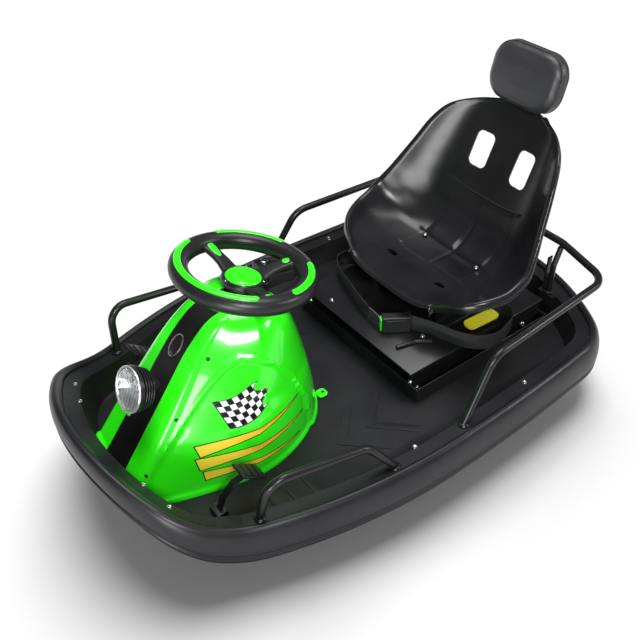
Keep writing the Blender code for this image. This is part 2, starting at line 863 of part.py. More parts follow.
def spoke(name, angle):
    """One arm from the dished hub up to the rim."""
    # Columns: distance from the axis, drop below the rim's plane, width
    stations = (
        (HUB_RADIUS * 0.88, HUB_DROP + HUB_HEIGHT / 2, SPOKE_WIDTH),
        (RIM_RADIUS * 0.52, HUB_DROP * 0.80, SPOKE_WAIST),
        (RIM_RADIUS * 0.78, HUB_DROP * 0.36, SPOKE_WAIST),
        (RIM_RADIUS, 0.0, SPOKE_WIDTH),
    )
    turn = Matrix.Rotation(angle, 4, "Z")
    rings = []
    for distance, drop, width in stations:
        outline = rounded_rectangle(width, SPOKE_THICKNESS, SPOKE_THICKNESS * 0.4, 2)
        rings.append([turn @ Vector((distance, across, up - drop)) for across, up in outline])
    return loft(name, rings, "rim_black")


def make_steering_wheel():
    """The padded rim with three spokes, its green inlays and the hub cap."""
    frame = steering_frame()
    rim = torus("steering_rim", "rim_black")
    hub = rod(
        "hub",
        (0, 0, -HUB_DROP - HUB_HEIGHT),
        (0, 0, -HUB_DROP),
        HUB_RADIUS,
        "rim_black",
        28,
    )
    spokes = [spoke(f"spoke_{label}", math.radians(angle)) for label, angle in SPOKES]
    rim = join(rim, hub, *spokes)
    rim.data.transform(frame)
    set_pivot(rim, axis_point(0.0))

    cap = turned(
        "hub_cap",
        (
            (0.0, HUB_CAP_HEIGHT),
            (HUB_CAP_RADIUS * 0.6, HUB_CAP_HEIGHT * 0.85),
            (HUB_CAP_RADIUS * 0.92, HUB_CAP_HEIGHT * 0.5),
            (HUB_CAP_RADIUS, 0.0),
            (0.0, 0.0),
        ),
        frame @ Matrix.Translation((0, 0, -HUB_DROP + SEAT_GAP)),
        "cowl_green",
    )
    set_pivot(cap, axis_point(0.0))

    for name, first, last in INLAYS:
        steps = round((last - first) / INLAY_STEP)
        rings = []
        for step in range(steps + 1):
            angle = math.radians(first + (last - first) * step / steps)
            turn = Matrix.Rotation(angle, 4, "Z")
            section = inlay_section()
            rings.append([frame @ turn @ Vector((across, 0.0, up)) for across, up in section])
        set_pivot(loft(name, rings, "cowl_green"), axis_point(0.0))


def inlay_section():
    """The section of an inlay, which lies on the top of the rim."""
    angles = [math.radians(degrees) for degrees in GRIP_ANGLES]
    inner = RIM_TUBE_RADIUS + 2 * SEAT_GAP
    outer = inner + GRIP_THICKNESS
    rows = [(inner, angle) for angle in angles] + [(outer, angle) for angle in reversed(angles)]
    return [(RIM_RADIUS + reach * math.cos(angle), reach * math.sin(angle)) for reach, angle in rows]


def make_column():
    """The column, the fork that carries the driven wheel, and the bridge that holds them."""
    frame = steering_frame()
    wheel_drop = drive_drop()
    crown_under = wheel_drop - DRIVE_RADIUS - CROWN_ABOVE_TYRE
    crown_top = crown_under - FORK_PLATE
    column = rod(
        "steering_column",
        axis_point(HUB_DROP + HUB_HEIGHT + SEAT_GAP),
        axis_point(crown_top - SEAT_GAP),
        COLUMN_RADIUS,
        "steel",
        24,
    )
    set_pivot(column, axis_point(0.0))

    leg_inside = DRIVE_WIDTH / 2 + FORK_GAP
    leg_outside = leg_inside + FORK_PLATE
    crown = placed_box(
        "drive_fork",
        (2 * leg_outside + CROWN_LIP, FORK_LEG_WIDTH + CROWN_LIP, FORK_PLATE),
        frame @ Matrix.Translation((0, 0, -(crown_top + crown_under) / 2)),
        "frame_black",
    )
    half = FORK_LEG_WIDTH / 2
    rise = wheel_drop - (crown_top + crown_under) / 2
    round_end = [math.pi * (1 + step / FORK_END_STEPS) for step in range(FORK_END_STEPS + 1)]
    outline = [(half * math.cos(angle), half * math.sin(angle)) for angle in round_end]
    outline += [(half, rise), (-half, rise)]
    legs = []
    for side in (-1, 1):
        centre = Vector((side * (leg_inside + leg_outside) / 2, 0, -wheel_drop))
        place = frame @ Matrix.Translation(centre) @ SIDEWAYS
        legs.append(plate(f"fork_leg_{side}", [outline], FORK_PLATE, place, "frame_black"))
    fork = join(crown, *legs)
    wheel_centre = axis_point(wheel_drop)
    reach = Vector((leg_outside + FORK_PLATE, 0, 0))
    bore = rod("axle_bore", wheel_centre - reach, wheel_centre + reach, AXLE_RADIUS + SEAT_GAP, "steel", 20)
    fork = cut(fork, bore)
    set_pivot(fork, axis_point(0.0))

    middle = (WHEEL_CENTRE_Z - BRIDGE_TOP) / math.cos(STEERING_RAKE)
    half = BRIDGE_WIDTH / 2
    top_half = half * BRIDGE_TAPER
    toe = half + BRIDGE_FOOT
    foot_z = FLOOR_TOP + SEAT_GAP
    right = [
        (toe, foot_z),
        (toe, foot_z + BRIDGE_PLATE),
        (half, foot_z + BRIDGE_PLATE),
        (top_half, BRIDGE_TOP),
    ]
    inside = [
        (top_half - 1.2 * BRIDGE_PLATE, BRIDGE_TOP - BRIDGE_PLATE),
        (half - BRIDGE_PLATE, foot_z),
    ]
    outline = right + [(-across, up) for across, up in reversed(right)]
    outline += [(-across, up) for across, up in reversed(inside)] + inside
    upright = Matrix.Translation((0, axis_point(middle).y, 0)) @ Matrix.Rotation(math.pi / 2, 4, "X")
    bridge = plate("steering_bridge", [outline], BRIDGE_DEPTH, upright, "frame_black")
    housing = rod(
        "bearing_tube",
        axis_point(middle + BRIDGE_PLATE),
        axis_point(middle - BRIDGE_TUBE_LENGTH),
        BRIDGE_TUBE_RADIUS,
        "frame_black",
        24,
    )
    shaft = rod(
        "column_bore",
        axis_point(middle + BRIDGE_TUBE_LENGTH),
        axis_point(middle - 2 * BRIDGE_TUBE_LENGTH),
        COLUMN_RADIUS + RUNNING_GAP,
        "steel",
        24,
    )
    cut(join(bridge, housing), shaft)


def make_drive_wheel():
    """The tyre and the hub motor with its axle."""
    centre = axis_point(drive_drop())
    lying = Matrix.Translation(centre) @ Matrix.Rotation(math.pi / 2, 4, "Y")
    half = DRIVE_WIDTH / 2
    bead = DRIVE_RADIUS - TYRE_WALL
    tyre = turned(
        "drive_tyre",
        (
            (bead, -half * 0.80),
            (bead + TYRE_WALL * 0.35, -half),
            (DRIVE_RADIUS - 0.006, -half * 0.92),
            (DRIVE_RADIUS - 0.0015, -half * 0.62),
            (DRIVE_RADIUS, -half * 0.2),
            (DRIVE_RADIUS, half * 0.2),
            (DRIVE_RADIUS - 0.0015, half * 0.62),
            (DRIVE_RADIUS - 0.006, half * 0.92),
            (bead + TYRE_WALL * 0.35, half),
            (bead, half * 0.80),
        ),
        lying,
        "tyre_black",
        36,
        closed=True,
    )
    set_pivot(tyre, centre)
    rim = bead - SEAT_GAP
    drum = HUB_MOTOR_WIDTH / 2
    axle = DRIVE_WIDTH / 2 + FORK_GAP + FORK_PLATE + AXLE_PAST_FORK
    motor = turned(
        "hub_motor",
        (
            (0.0, axle),
            (AXLE_RADIUS, axle),
            (AXLE_RADIUS, drum + 0.003),
            (rim * 0.35, drum + 0.002),
            (rim * 0.40, drum - 0.002),
            (rim * 0.80, drum - 0.003),
            (rim * 0.86, drum),
            (rim, drum),
            (rim, -drum),
            (rim * 0.86, -drum),
            (rim * 0.80, -drum + 0.003),
            (rim * 0.40, -drum + 0.002),
            (rim * 0.35, -drum - 0.002),
            (AXLE_RADIUS, -drum - 0.003),
            (AXLE_RADIUS, -axle),
            (0.0, -axle),
        ),
        lying,
        "steel",
        28,
    )
    set_pivot(motor, centre)


def make_caster(side, label):
    """A swivelling fork with its wheel, under the end of the rear cross-member."""
    top = FLOOR_TOP - FLOOR_WALL - SEAT_GAP - FRAME_TUBE - RUNNING_GAP
    swivel = Vector((side * CASTER_X, FRAME_REAR_Y, top))
    turn = Matrix.Translation(swivel) @ Matrix.Rotation(-side * CASTER_TURN, 4, "Z")
    axle = turn @ Vector((0, CASTER_TRAIL, CASTER_RADIUS - top))
    axis = turn.to_3x3() @ Vector((1, 0, 0))
    head = rod(
        f"caster_fork_{label}",
        swivel - Vector((0, 0, CASTER_TOP_HEIGHT)),
        swivel,
        CASTER_TOP_RADIUS,
        "steel",
        24,
    )
    inside = CASTER_WIDTH / 2 + CASTER_SIDE_GAP
    drop = CASTER_RADIUS - top
    outline = [
        (-CASTER_TOP_RADIUS * 0.6, -CASTER_TOP_HEIGHT / 2),
        (-CASTER_TOP_RADIUS * 0.6, -CASTER_TOP_HEIGHT * 1.5),
        (CASTER_TRAIL - CASTER_LEG_WIDTH / 2, drop + CASTER_LEG_WIDTH / 4),
        (CASTER_TRAIL - CASTER_LEG_WIDTH / 4, drop - CASTER_LEG_WIDTH / 2),
        (CASTER_TRAIL + CASTER_LEG_WIDTH / 4, drop - CASTER_LEG_WIDTH / 2),
        (CASTER_TRAIL + CASTER_LEG_WIDTH / 2, drop + CASTER_LEG_WIDTH / 4),
        (CASTER_TOP_RADIUS * 0.7, -CASTER_TOP_HEIGHT / 2),
    ]
    legs = []
    for hand in (-1, 1):
        place = turn @ Matrix.Translation((hand * (inside + CASTER_PLATE / 2), 0, 0)) @ SIDEWAYS
        legs.append(plate(f"caster_leg_{label}_{hand}", [outline], CASTER_PLATE, place, "steel"))
    pin = rod(
        f"caster_pin_{label}",
        axle - axis * (inside + 2 * CASTER_PLATE),
        axle + axis * (inside + 2 * CASTER_PLATE),
        CASTER_AXLE_RADIUS,
        "steel",
        16,
    )
    set_pivot(join(head, *legs, pin), swivel)
    lying = Matrix.Translation(axle) @ turn.to_3x3().to_4x4() @ Matrix.Rotation(math.pi / 2, 4, "Y")
    half = CASTER_WIDTH / 2
    bore = CASTER_AXLE_RADIUS + SEAT_GAP
    wheel = turned(
        f"caster_wheel_{label}",
        (
            (bore, -half - CASTER_SIDE_GAP + SEAT_GAP),
            (bore + 0.004, -half - CASTER_SIDE_GAP + SEAT_GAP),
            (bore + 0.005, -half * 0.7),
            (CASTER_RADIUS * 0.72, -half * 0.7),
            (CASTER_RADIUS * 0.78, -half),
            (CASTER_RADIUS - 0.002, -half),
            (CASTER_RADIUS, -half * 0.6),
            (CASTER_RADIUS, half * 0.6),
            (CASTER_RADIUS - 0.002, half),
            (CASTER_RADIUS * 0.78, half),
            (CASTER_RADIUS * 0.72, half * 0.7),
            (bore + 0.005, half * 0.7),
            (bore + 0.004, half + CASTER_SIDE_GAP - SEAT_GAP),
            (bore, half + CASTER_SIDE_GAP - SEAT_GAP),
        ),
        lying,
        "caster_white",
        22,
        closed=True,
    )
    set_pivot(wheel, axle)


# The cowl's level sections. Columns: height, front at the strip behind the cowl's foot,
# half width of the nose, greatest half width, how far behind the foot that lies, rear at
# the strip ahead of the cowl's rear
COWL_SHAPE = (
    (FLOOR_TOP - SEAT_GAP, 0.000, 0.088, 0.153, 0.255, 0.000),
    (0.150, 0.043, 0.084, 0.153, 0.255, 0.004),
    (0.200, 0.082, 0.080, 0.149, 0.260, 0.012),
    (0.250, 0.122, 0.075, 0.140, 0.270, 0.022),
    (0.300, 0.161, 0.068, 0.125, 0.285, 0.034),
    (0.340, 0.193, 0.061, 0.108, 0.300, 0.048),
    (0.370, 0.224, 0.055, 0.090, 0.310, 0.065),
    (0.384, 0.243, 0.051, 0.075, 0.315, 0.076),
    (0.391, 0.260, 0.047, 0.062, 0.319, 0.086),
    (COWL_TOP, 0.273, 0.043, 0.052, 0.323, 0.094),
)
COWL_LEVELS = tuple(
    (height, COWL_FRONT + front, nose, widest, COWL_FRONT + widest_back, COWL_REAR - rear)
    for height, front, nose, widest, widest_back, rear in COWL_SHAPE
)
COWL_CORNER_STEPS = 3
COWL_FLANK_STEPS = 6
COWL_REAR_STEPS = 8


def strip_half(height):
    """Half the strip's width, which narrows to the cowl's top."""
    share = (height - FLOOR_TOP) / (COWL_TOP - FLOOR_TOP)
    return STRIP_FOOT_HALF + (STRIP_TOP_HALF - STRIP_FOOT_HALF) * share


def cowl_half_section(level):
    """Half of one level section, from the strip at the nose round to the strip at the tail."""
    height, front, nose, widest, widest_y, rear = level
    seam = strip_half(height)
    corner = min(0.018, (nose - seam) * 0.8)
    bulge = COWL_BULGE if height < COWL_BULGE_TOP else 0.0
    points = [(seam + SEAM_GAP, front)]
    for step in range(COWL_CORNER_STEPS + 1):
        angle = math.pi / 2 * step / COWL_CORNER_STEPS
        points.append((nose - corner + corner * math.sin(angle), front + corner - corner * math.cos(angle)))
    start = Vector(points[-1])
    end = Vector((widest + bulge, widest_y))
    guide = Vector((widest - 0.012 + bulge, widest_y - 0.36 * (widest_y - start.y)))
    for step in range(1, COWL_FLANK_STEPS + 1):
        share = step / COWL_FLANK_STEPS
        place = start * (1 - share) ** 2 + guide * (2 * share * (1 - share)) + end * share**2
        points.append(tuple(place))
    last = math.acos((seam + SEAM_LAND) / end.x)
    for step in range(1, COWL_REAR_STEPS + 1):
        angle = last * step / COWL_REAR_STEPS
        rise = math.sin(angle) / math.sin(last)
        points.append((end.x * math.cos(angle), widest_y + (rear - widest_y) * rise))
    points.append((seam + SEAM_GAP, rear))
    return [Vector((across, forward, height)) for across, forward in points]


def tray_cutter():
    """The space that the tray and the bumper take, for trimming what stands on them."""
    edge = BUMPER_WIDTH + SEAT_GAP
    wall_top = edge + LEDGE_WIDTH + SLOPE_GAP
    wall_foot = wall_top + LEDGE_SLOPE
    above = LEDGE_TOP + SLOPE_GAP
    far = -FRAME_TUBE
    rings = [
        plan(far, FLOOR_TOP - FRAME_TUBE),
        plan(far, above + FRAME_TUBE, True),
        plan(edge + SEAT_GAP, above + FRAME_TUBE, True),
        plan(edge + SEAT_GAP, above, True),
        plan(wall_top, above, True),
        plan(wall_foot, FLOOR_TOP + SEAT_GAP),
    ]
    return loft("tray_cutter", rings, "frame_black")


def cowl_cutter():
    """The cowl's outer form with a seating gap, for trimming what stands on it."""
    rings = []
    for height, front, nose, widest, widest_y, rear in COWL_LEVELS:
        grown_width = widest + 2 * SEAT_GAP
        grown = (height, front - SEAT_GAP, nose + SEAT_GAP, grown_width, widest_y, rear + SEAT_GAP)
        right = cowl_half_section(grown)
        left = [Vector((-point.x, point.y, point.z)) for point in reversed(right)]
        rings.append(right + left)
    return loft("cowl_cutter", rings, "frame_black")


def make_cowl():
    """Two green shells and the black strip between them."""
    rows = [cowl_half_section(level) for level in COWL_LEVELS]
    seam = strip_half(COWL_TOP) + SEAM_GAP
    rows.append([Vector((seam, point.y, point.z)) for point in rows[-1]])
    left = skin("cowl_left", rows, COWL_WALL, "cowl_green", side=COWL_SIDE)
    left = cut(left, tray_cutter())
    mirrored(left, "cowl_right")

    front = [(level[1], level[0]) for level in COWL_LEVELS]
    rear = [(level[5], level[0]) for level in reversed(COWL_LEVELS)]
    rows = []
    for forward, height in front + rear:
        half = strip_half(height)
        rows.append([Vector((half * share, forward, height)) for share in (-1.0, -0.5, 0.0, 0.5, 1.0)])
    strip = skin("cowl_strip", rows, COWL_WALL, "strip_black", side=STRIP_SIDE)
    middle = (WHEEL_CENTRE_Z - COWL_TOP) / math.cos(STEERING_RAKE)
    hole = rod(
        "column_hole",
        axis_point(middle - 0.03),
        axis_point(middle + 0.03),
        COLUMN_RADIUS + RUNNING_GAP + COWL_WALL,
        "steel",
        24,
    )
    cut(strip, tray_cutter(), hole)


def lamp_frame():
    """A matrix at the lamp's face, with Z pointing out of it."""
    place = Matrix.Translation((0.0, LAMP_FACE_Y, LAMP_FACE_Z))
    return place @ Matrix.Rotation(math.pi / 2 - LAMP_TILT, 4, "X")


def make_lamp():
    """The round headlamp on the strip, with cooling fins behind its bezel."""
    frame = lamp_frame()
    lens_floor = -LAMP_LENS_DEPTH
    profile = [
        (0.0, lens_floor),
        (LAMP_LENS_RADIUS + SEAT_GAP, lens_floor),
        (LAMP_LENS_RADIUS + SEAT_GAP, -0.001),
        (LAMP_RADIUS - 0.001, 0.0),
        (LAMP_RADIUS, -0.002),
        (LAMP_RADIUS, -LAMP_BEZEL_DEPTH),
    ]
    fin = LAMP_FIN_DEPTH
    depth = -LAMP_BEZEL_DEPTH
    for row in range(LAMP_FINS):
        root = LAMP_RADIUS * (0.84 - 0.05 * row)
        tip = LAMP_RADIUS * (0.96 - 0.05 * row)
        profile += [(root, depth - fin * 0.2), (root, depth - fin * 0.9)]
        profile += [(tip, depth - fin * 1.1), (tip, depth - fin * 1.7)]
        depth -= fin * 1.7
    profile += [
        (LAMP_RADIUS * 0.62, depth - 0.004),
        (LAMP_NECK_RADIUS, -LAMP_DEPTH),
        (LAMP_NECK_RADIUS, -LAMP_DEPTH - LAMP_NECK_LENGTH),
        (0.0, -LAMP_DEPTH - LAMP_NECK_LENGTH),
    ]
    cut(turned("lamp_housing", profile, frame, "lamp_black", 24), cowl_cutter())
    turned(
        "lamp_lens",
        (
            (0.0, 0.003),
            (LAMP_LENS_RADIUS * 0.5, 0.0022),
            (LAMP_LENS_RADIUS * 0.85, 0.0005),
            (LAMP_LENS_RADIUS, -0.002),
            (LAMP_LENS_RADIUS, lens_floor + SEAT_GAP),
            (0.0, lens_floor + SEAT_GAP),
        ),
        frame,
        "lens_clear",
        24,
    )


def make_control_box():
    """The switch box behind the steering wheel, with its key switch."""
    width, depth, height = CONTROL_SIZE
    centre = Vector((CONTROL_X, CONTROL_Y, CONTROL_Z))
    tilt = Matrix.Translation(centre) @ Matrix.Rotation(-STEERING_RAKE, 4, "X")
    shell = placed_box("control_box", CONTROL_SIZE, tilt, "rim_black", bevel=0.004)
    neck = box(
        "control_neck",
        (CONTROL_X + 0.004, CONTROL_Y - depth, CONTROL_Z - height * 0.45),
        (CONTROL_X + width * 0.5, CONTROL_Y, CONTROL_Z + height * 0.1),
        "rim_black",
    )
    cut(join(shell, neck), cowl_cutter())
    top = height / 2 + SEAT_GAP
    place = tilt @ Matrix.Translation((-width * 0.22, -depth * 0.25, top))
    turned(
        "key_switch",
        ((0.0, 0.004), (0.006, 0.004), (0.0075, 0.003), (0.0075, 0.0), (0.0, 0.0)),
        place,
        "steel",
        16,
    )


def make_pedals():
    """The brake pedal on the driver's left and the accelerator on the right."""
    foot = Vector((PEDAL_X, PEDAL_FOOT_Y, FLOOR_TOP + SEAT_GAP))
    middle = Matrix.Translation(foot + Vector((0, 0, PEDAL_BLOCK[2] / 2)))
    block = placed_box("brake_pedal", PEDAL_BLOCK, middle, "frame_black", bevel=0.002)
    place = Matrix.Translation(PEDAL_PAD_CENTRE) @ Matrix.Rotation(PEDAL_PAD_TILT, 4, "X")
    pad = placed_box("pedal_pad", PEDAL_PAD, place, "frame_black", bevel=0.003)
    start = foot + Vector((0, 0, PEDAL_BLOCK[2] / 2))
    end = Vector(PEDAL_PAD_CENTRE)
    rings = []
    for share, lift in PEDAL_ARM_SHAPE:
        middle = start.lerp(end, share) + Vector((0, -lift, lift))
        outline = rounded_rectangle(PEDAL_ARM_WIDTH, PEDAL_ARM_THICKNESS, PEDAL_ARM_THICKNESS * 0.3, 1)
        rings.append([middle + Vector((across, along_kart, 0)) for across, along_kart in outline])
    pedal = join(block, loft("pedal_arm", rings, "frame_black"), pad)
    mirrored(pedal, "accelerator_pedal")


def ledge_foot(inset, forward):
    """Where a tube's foot stands on the ledge at one place along the kart."""
    reach = TUBE_FOOT_RADIUS
    corners = [(across, ahead) for across in (-reach, reach) for ahead in (-reach, reach)]
    around = [ledge_place(inset + across, forward + ahead) for across, ahead in corners]
    return Vector((ledge_place(inset, forward).x, forward, max(point.z for point in around) + SEAT_GAP))


def foot_flange(name, low):
    """The flat round foot of a tube."""
    return rod(name, low, low + Vector((0, 0, TUBE_FOOT_HEIGHT)), TUBE_FOOT_RADIUS, "frame_black", 16)


def standing_tube(name, corners, bend, radius):
    """A bent tube whose two ends are trimmed level and stand on round feet."""
    feet = (Vector(corners[0]), Vector(corners[-1]))
    nexts = (Vector(corners[1]), Vector(corners[-2]))
    ends = [foot + (foot - ahead).normalized() * radius for foot, ahead in zip(feet, nexts)]
    path = [ends[0], *corners[1:-1], ends[1]]
    pipe = tube(name, rounded_path(path, bend), radius, "frame_black")
    tools = []
    reach = 2 * TUBE_FOOT_RADIUS
    for index, foot in enumerate(feet):
        high = foot + Vector((reach, reach, TUBE_FOOT_HEIGHT / 2))
        tools.append(box(f"trim_{index}", foot - Vector((reach, reach, reach)), high, "frame_black"))
    pipe = cut(pipe, *tools)
    return join(pipe, *[foot_flange(f"flange_{index}", foot) for index, foot in enumerate(feet)])


def make_hoops():
    """The bent tube beside each foot well."""
    front = ledge_foot(HOOP_INSET, HOOP_FRONT_Y)
    rear = ledge_foot(HOOP_INSET, HOOP_REAR_Y)
    corners = (
        front,
        (front.x + HOOP_LEAN[0], HOOP_FRONT_Y + HOOP_LEAN[1], HOOP_TOP),
        (rear.x - HOOP_REAR_LEAN[0], HOOP_REAR_Y - HOOP_REAR_LEAN[1], HOOP_REAR_TOP),
        rear,
    )
    mirrored(standing_tube("foot_guard_left", corners, HOOP_BEND, TUBE_RADIUS), "foot_guard_right")


def make_rail():
    """The one bent tube that runs along both sides and round behind the seat."""
    foot = ledge_foot(RAIL_INSET, RAIL_FOOT_Y)
    # Columns: across, along, of the rail's top from the front bend to the middle of the tail
    top_run = ((RAIL_FRONT_X, RAIL_FRONT_Y), (RAIL_CORNER_X, RAIL_CORNER_Y), (RAIL_REAR_X, RAIL_REAR_Y))
    right = [tuple(foot)] + [(across, forward, RAIL_TOP) for across, forward in top_run]
    left = [(-across, forward, height) for across, forward, height in reversed(right)]
    standing_tube("side_rail", right + left, RAIL_BEND, TUBE_RADIUS)


def make_rear_posts():
    """The two posts that hold the rail behind the seat."""
    low = Vector((POST_X, POST_Y, LEDGE_TOP + POST_BLOCK_RISE + SEAT_GAP))
    flange = foot_flange("rear_post_left", low)
    corners = (
        low + Vector((0, 0, TUBE_FOOT_HEIGHT / 2)),
        (POST_X, POST_Y, RAIL_TOP - RAIL_BEND),
        (POST_X, RAIL_REAR_Y - POST_TOP_SETBACK, RAIL_TOP - TUBE_RADIUS - POST_RADIUS),
    )
    post = tube("post", rounded_path(corners, POST_BEND), POST_RADIUS, "frame_black")
    mirrored(join(flange, post), "rear_post_right")


def open_box(name, low, high, wall, finish):
    """A tray with its top open."""
    outer = box(name, low, high, finish)
    inner = box(
        "inner",
        Vector(low) + Vector((wall, wall, wall)),
        Vector(high) + Vector((-wall, -wall, wall)),
        finish,
    )
    return cut(outer, inner)


def make_seat_base():
    """The steel tray on the floor, the battery in it, and the plate that carries the seat."""
    floor = FLOOR_TOP + SEAT_GAP
    low = (-BASE_HALF_WIDTH, BASE_FRONT, floor)
    high = (BASE_HALF_WIDTH, BASE_REAR, floor + BASE_HEIGHT)
    open_box("base_tray", low, high, BASE_WALL, "frame_black")

    battery_floor = floor + BASE_WALL + SEAT_GAP
    plate_under = TOP_PLATE_Z - TOP_PLATE_WALL
    box(
        "battery",
        (-BATTERY_HALF_WIDTH, BATTERY_FRONT, battery_floor),
        (BATTERY_HALF_WIDTH, BATTERY_REAR, plate_under - BATTERY_LID_GAP),
        "battery_grey",
        0.003,
    )
    top = box(
        "seat_plate",
        (-TOP_PLATE_HALF_WIDTH, TOP_PLATE_FRONT, plate_under),
        (TOP_PLATE_HALF_WIDTH, BASE_REAR, TOP_PLATE_Z),
        "frame_black",
        0.0015,
    )
    runners = []
    for side in (-1, 1):
        runners.append(
            box(
                f"runner_{side}",
                (side * RUNNER_X - RUNNER_WIDTH / 2, BASE_FRONT + RUNNER_INSET, battery_floor),
                (side * RUNNER_X + RUNNER_WIDTH / 2, BASE_REAR - RUNNER_INSET, plate_under + RUNNER_SINK),
                "frame_black",
            )
        )
    join(top, *runners)

    stand_top = seat_under(STAND_FRONT)
    stand_foot = TOP_PLATE_Z + SEAT_GAP
    right = [
        (STAND_HALF_WIDTH - STAND_WALL, stand_top - STAND_WALL),
        (STAND_HALF_WIDTH - STAND_WALL, stand_foot),
        (STAND_HALF_WIDTH + STAND_FOOT, stand_foot),
        (STAND_HALF_WIDTH + STAND_FOOT, stand_foot + STAND_WALL),
        (STAND_HALF_WIDTH, stand_foot + STAND_WALL),
        (STAND_HALF_WIDTH, stand_top),
    ]
    outline = right + [(-across, up) for across, up in reversed(right)]
    middle = (STAND_FRONT + STAND_REAR) / 2
    upright = Matrix.Translation((0, middle, 0)) @ Matrix.Rotation(math.pi / 2, 4, "X")
    plate("seat_stand", [outline], STAND_REAR - STAND_FRONT, upright, "frame_black")


def make_release():
    """The pull tab of the seat's slide, on its foot, and the rod in front of the seat."""
    floor = TOP_PLATE_Z + SEAT_GAP
    width, length, thickness = TAB_SIZE
    across, forward = TAB_CENTRE
    place = Matrix.Translation((across, forward, floor + TAB_LIFT)) @ Matrix.Rotation(TAB_TURN, 4, "Z")
    outline = rounded_rectangle(width, length, TAB_CORNER, 3)
    tab = plate("release_tab", [outline], thickness, place, "tab_yellow")
    foot_width, foot_length = TAB_FOOT
    rear = forward + TAB_FOOT_BACK
    foot = box(
        "tab_foot",
        (across - foot_width / 2, rear - foot_length / 2, floor),
        (across + foot_width / 2, rear + foot_length / 2, floor + TAB_LIFT),
        "tab_yellow",
    )
    join(tab, foot)
    height = floor + RELEASE_ROD_RADIUS
    # Columns: across, behind the base's front
    path = ((0.102, 0.025), (0.112, 0.067), (0.132, 0.095))
    points = [(across, BASE_FRONT + forward, height) for across, forward in path]
    tube("release_rod", points, RELEASE_ROD_RADIUS, "frame_black")


# The seat's sections from its front lip up to the top of its back. Columns: centre behind
# the base's front, centre height, rim across, rim behind the base's front, rim height
SEAT_SHAPE = (
    (0.0830, 0.2470, 0.1180, 0.0920, 0.2550),
    (0.1100, 0.2445, 0.1760, 0.1200, 0.2755),
    (0.1500, 0.2435, 0.2020, 0.1500, 0.2865),
    (0.2050, 0.2385, 0.2200, 0.2000, 0.2965),
    (0.2550, 0.2370, 0.2215, 0.2400, 0.3155),
    (0.3000, 0.2520, 0.2090, 0.2730, 0.3500),
    (0.3330, 0.2850, 0.1940, 0.3000, 0.3890),
    (0.3570, 0.3350, 0.1810, 0.3250, 0.4250),
    (0.3850, 0.4000, 0.1670, 0.3500, 0.4630),
    (0.4130, 0.4620, 0.1440, 0.3830, 0.4970),
    (0.4380, 0.5120, 0.0980, 0.4220, 0.5140),
    (0.4480, 0.5270, 0.0550, 0.4400, 0.5230),
)
SEAT_STATIONS = tuple(
    (BASE_FRONT + centre_back, centre_z, rim_x, BASE_FRONT + rim_back, rim_z)
    for centre_back, centre_z, rim_x, rim_back, rim_z in SEAT_SHAPE
)
SEAT_STEPS = 7
SEAT_RISE_POWER = 3.4


def seat_under(forward):
    """The height of the lowest of the pan's underside near one place, less the seating gap."""
    for first, second in zip(SEAT_STATIONS, SEAT_STATIONS[1:]):
        if first[0] <= forward <= second[0]:
            share = (forward - first[0]) / (second[0] - first[0])
            centre = first[1] + (second[1] - first[1]) * share
            lowest = min(station[1] for station in SEAT_STATIONS)
            return min(centre, lowest) - SEAT_WALL - SEAT_GAP
    raise ValueError("outside the seat's pan")


def seat_rows():
    """The seat's surface, as rows from the right rim's lip to the left one's."""
    rows = []
    for centre_y, centre_z, rim_x, rim_y, rim_z in SEAT_STATIONS:
        row = []
        for step in range(SEAT_STEPS + 1):
            share = step / SEAT_STEPS
            rise = share**SEAT_RISE_POWER
            forward = centre_y + (rim_y - centre_y) * rise
            height = centre_z + (rim_z - centre_z) * rise
            row.append((rim_x * share, forward, height))
        row.append((rim_x + SEAT_LIP_WIDTH * 0.6, rim_y, rim_z + 0.001))
        row.append((rim_x + SEAT_LIP_WIDTH, rim_y, rim_z - SEAT_LIP_DROP))
        left = [(-across, forward, height) for across, forward, height in reversed(row[1:])]
        rows.append([Vector(point) for point in left + row])
    return rows


def make_seat():
    """The moulded bucket with its rolled lip, two back slots and two pan holes."""
    shell = skin("seat_shell", seat_rows(), SEAT_WALL, "seat_black", side=SEAT_SIDE)
    tools = []
    for side in (-1, 1):
        back = Matrix.Translation((side * SLOT_X, SLOT_Y, SLOT_Z))
        back = back @ Matrix.Rotation(math.pi / 2 - BACK_LEAN, 4, "X")
        slot = rounded_rectangle(SLOT_WIDTH, SLOT_LENGTH, SLOT_CORNER, 3)
        tools.append(plate(f"slot_{side}", [slot], SLOT_CUT, back, "seat_black"))
        pan = Matrix.Translation((side * PAN_HOLE_X, PAN_HOLE_Y, PAN_HOLE_Z))
        hole = rounded_rectangle(PAN_HOLE_LENGTH, PAN_HOLE_WIDTH, PAN_HOLE_WIDTH * 0.49, 4)
        tools.append(plate(f"pan_hole_{side}", [hole], 10 * SEAT_WALL, pan, "seat_black"))
    weld(cut(shell, *tools), SEAT_WELD)


def head_pad(name, growth=0.0):
    """The rounded head pad, or a grown copy of it for trimming its bracket."""
    lean = Matrix.Translation((0, HEADREST_Y, HEADREST_Z))
    lean = lean @ Matrix.Rotation(-HEADREST_LEAN, 4, "X")
    half = HEADREST_THICKNESS / 2 + growth
    width, height = HEADREST_WIDTH + 2 * growth, HEADREST_HEIGHT + 2 * growth
    rings = []
    for depth, share in HEADREST_STATIONS:
        outline = rounded_rectangle(width * share, height * share, HEADREST_CORNER * share, 5)
        rings.append([lean @ Vector((across, depth * half, up)) for across, up in outline])
    return loft(name, rings, "pad_black", smooth_angle=60)


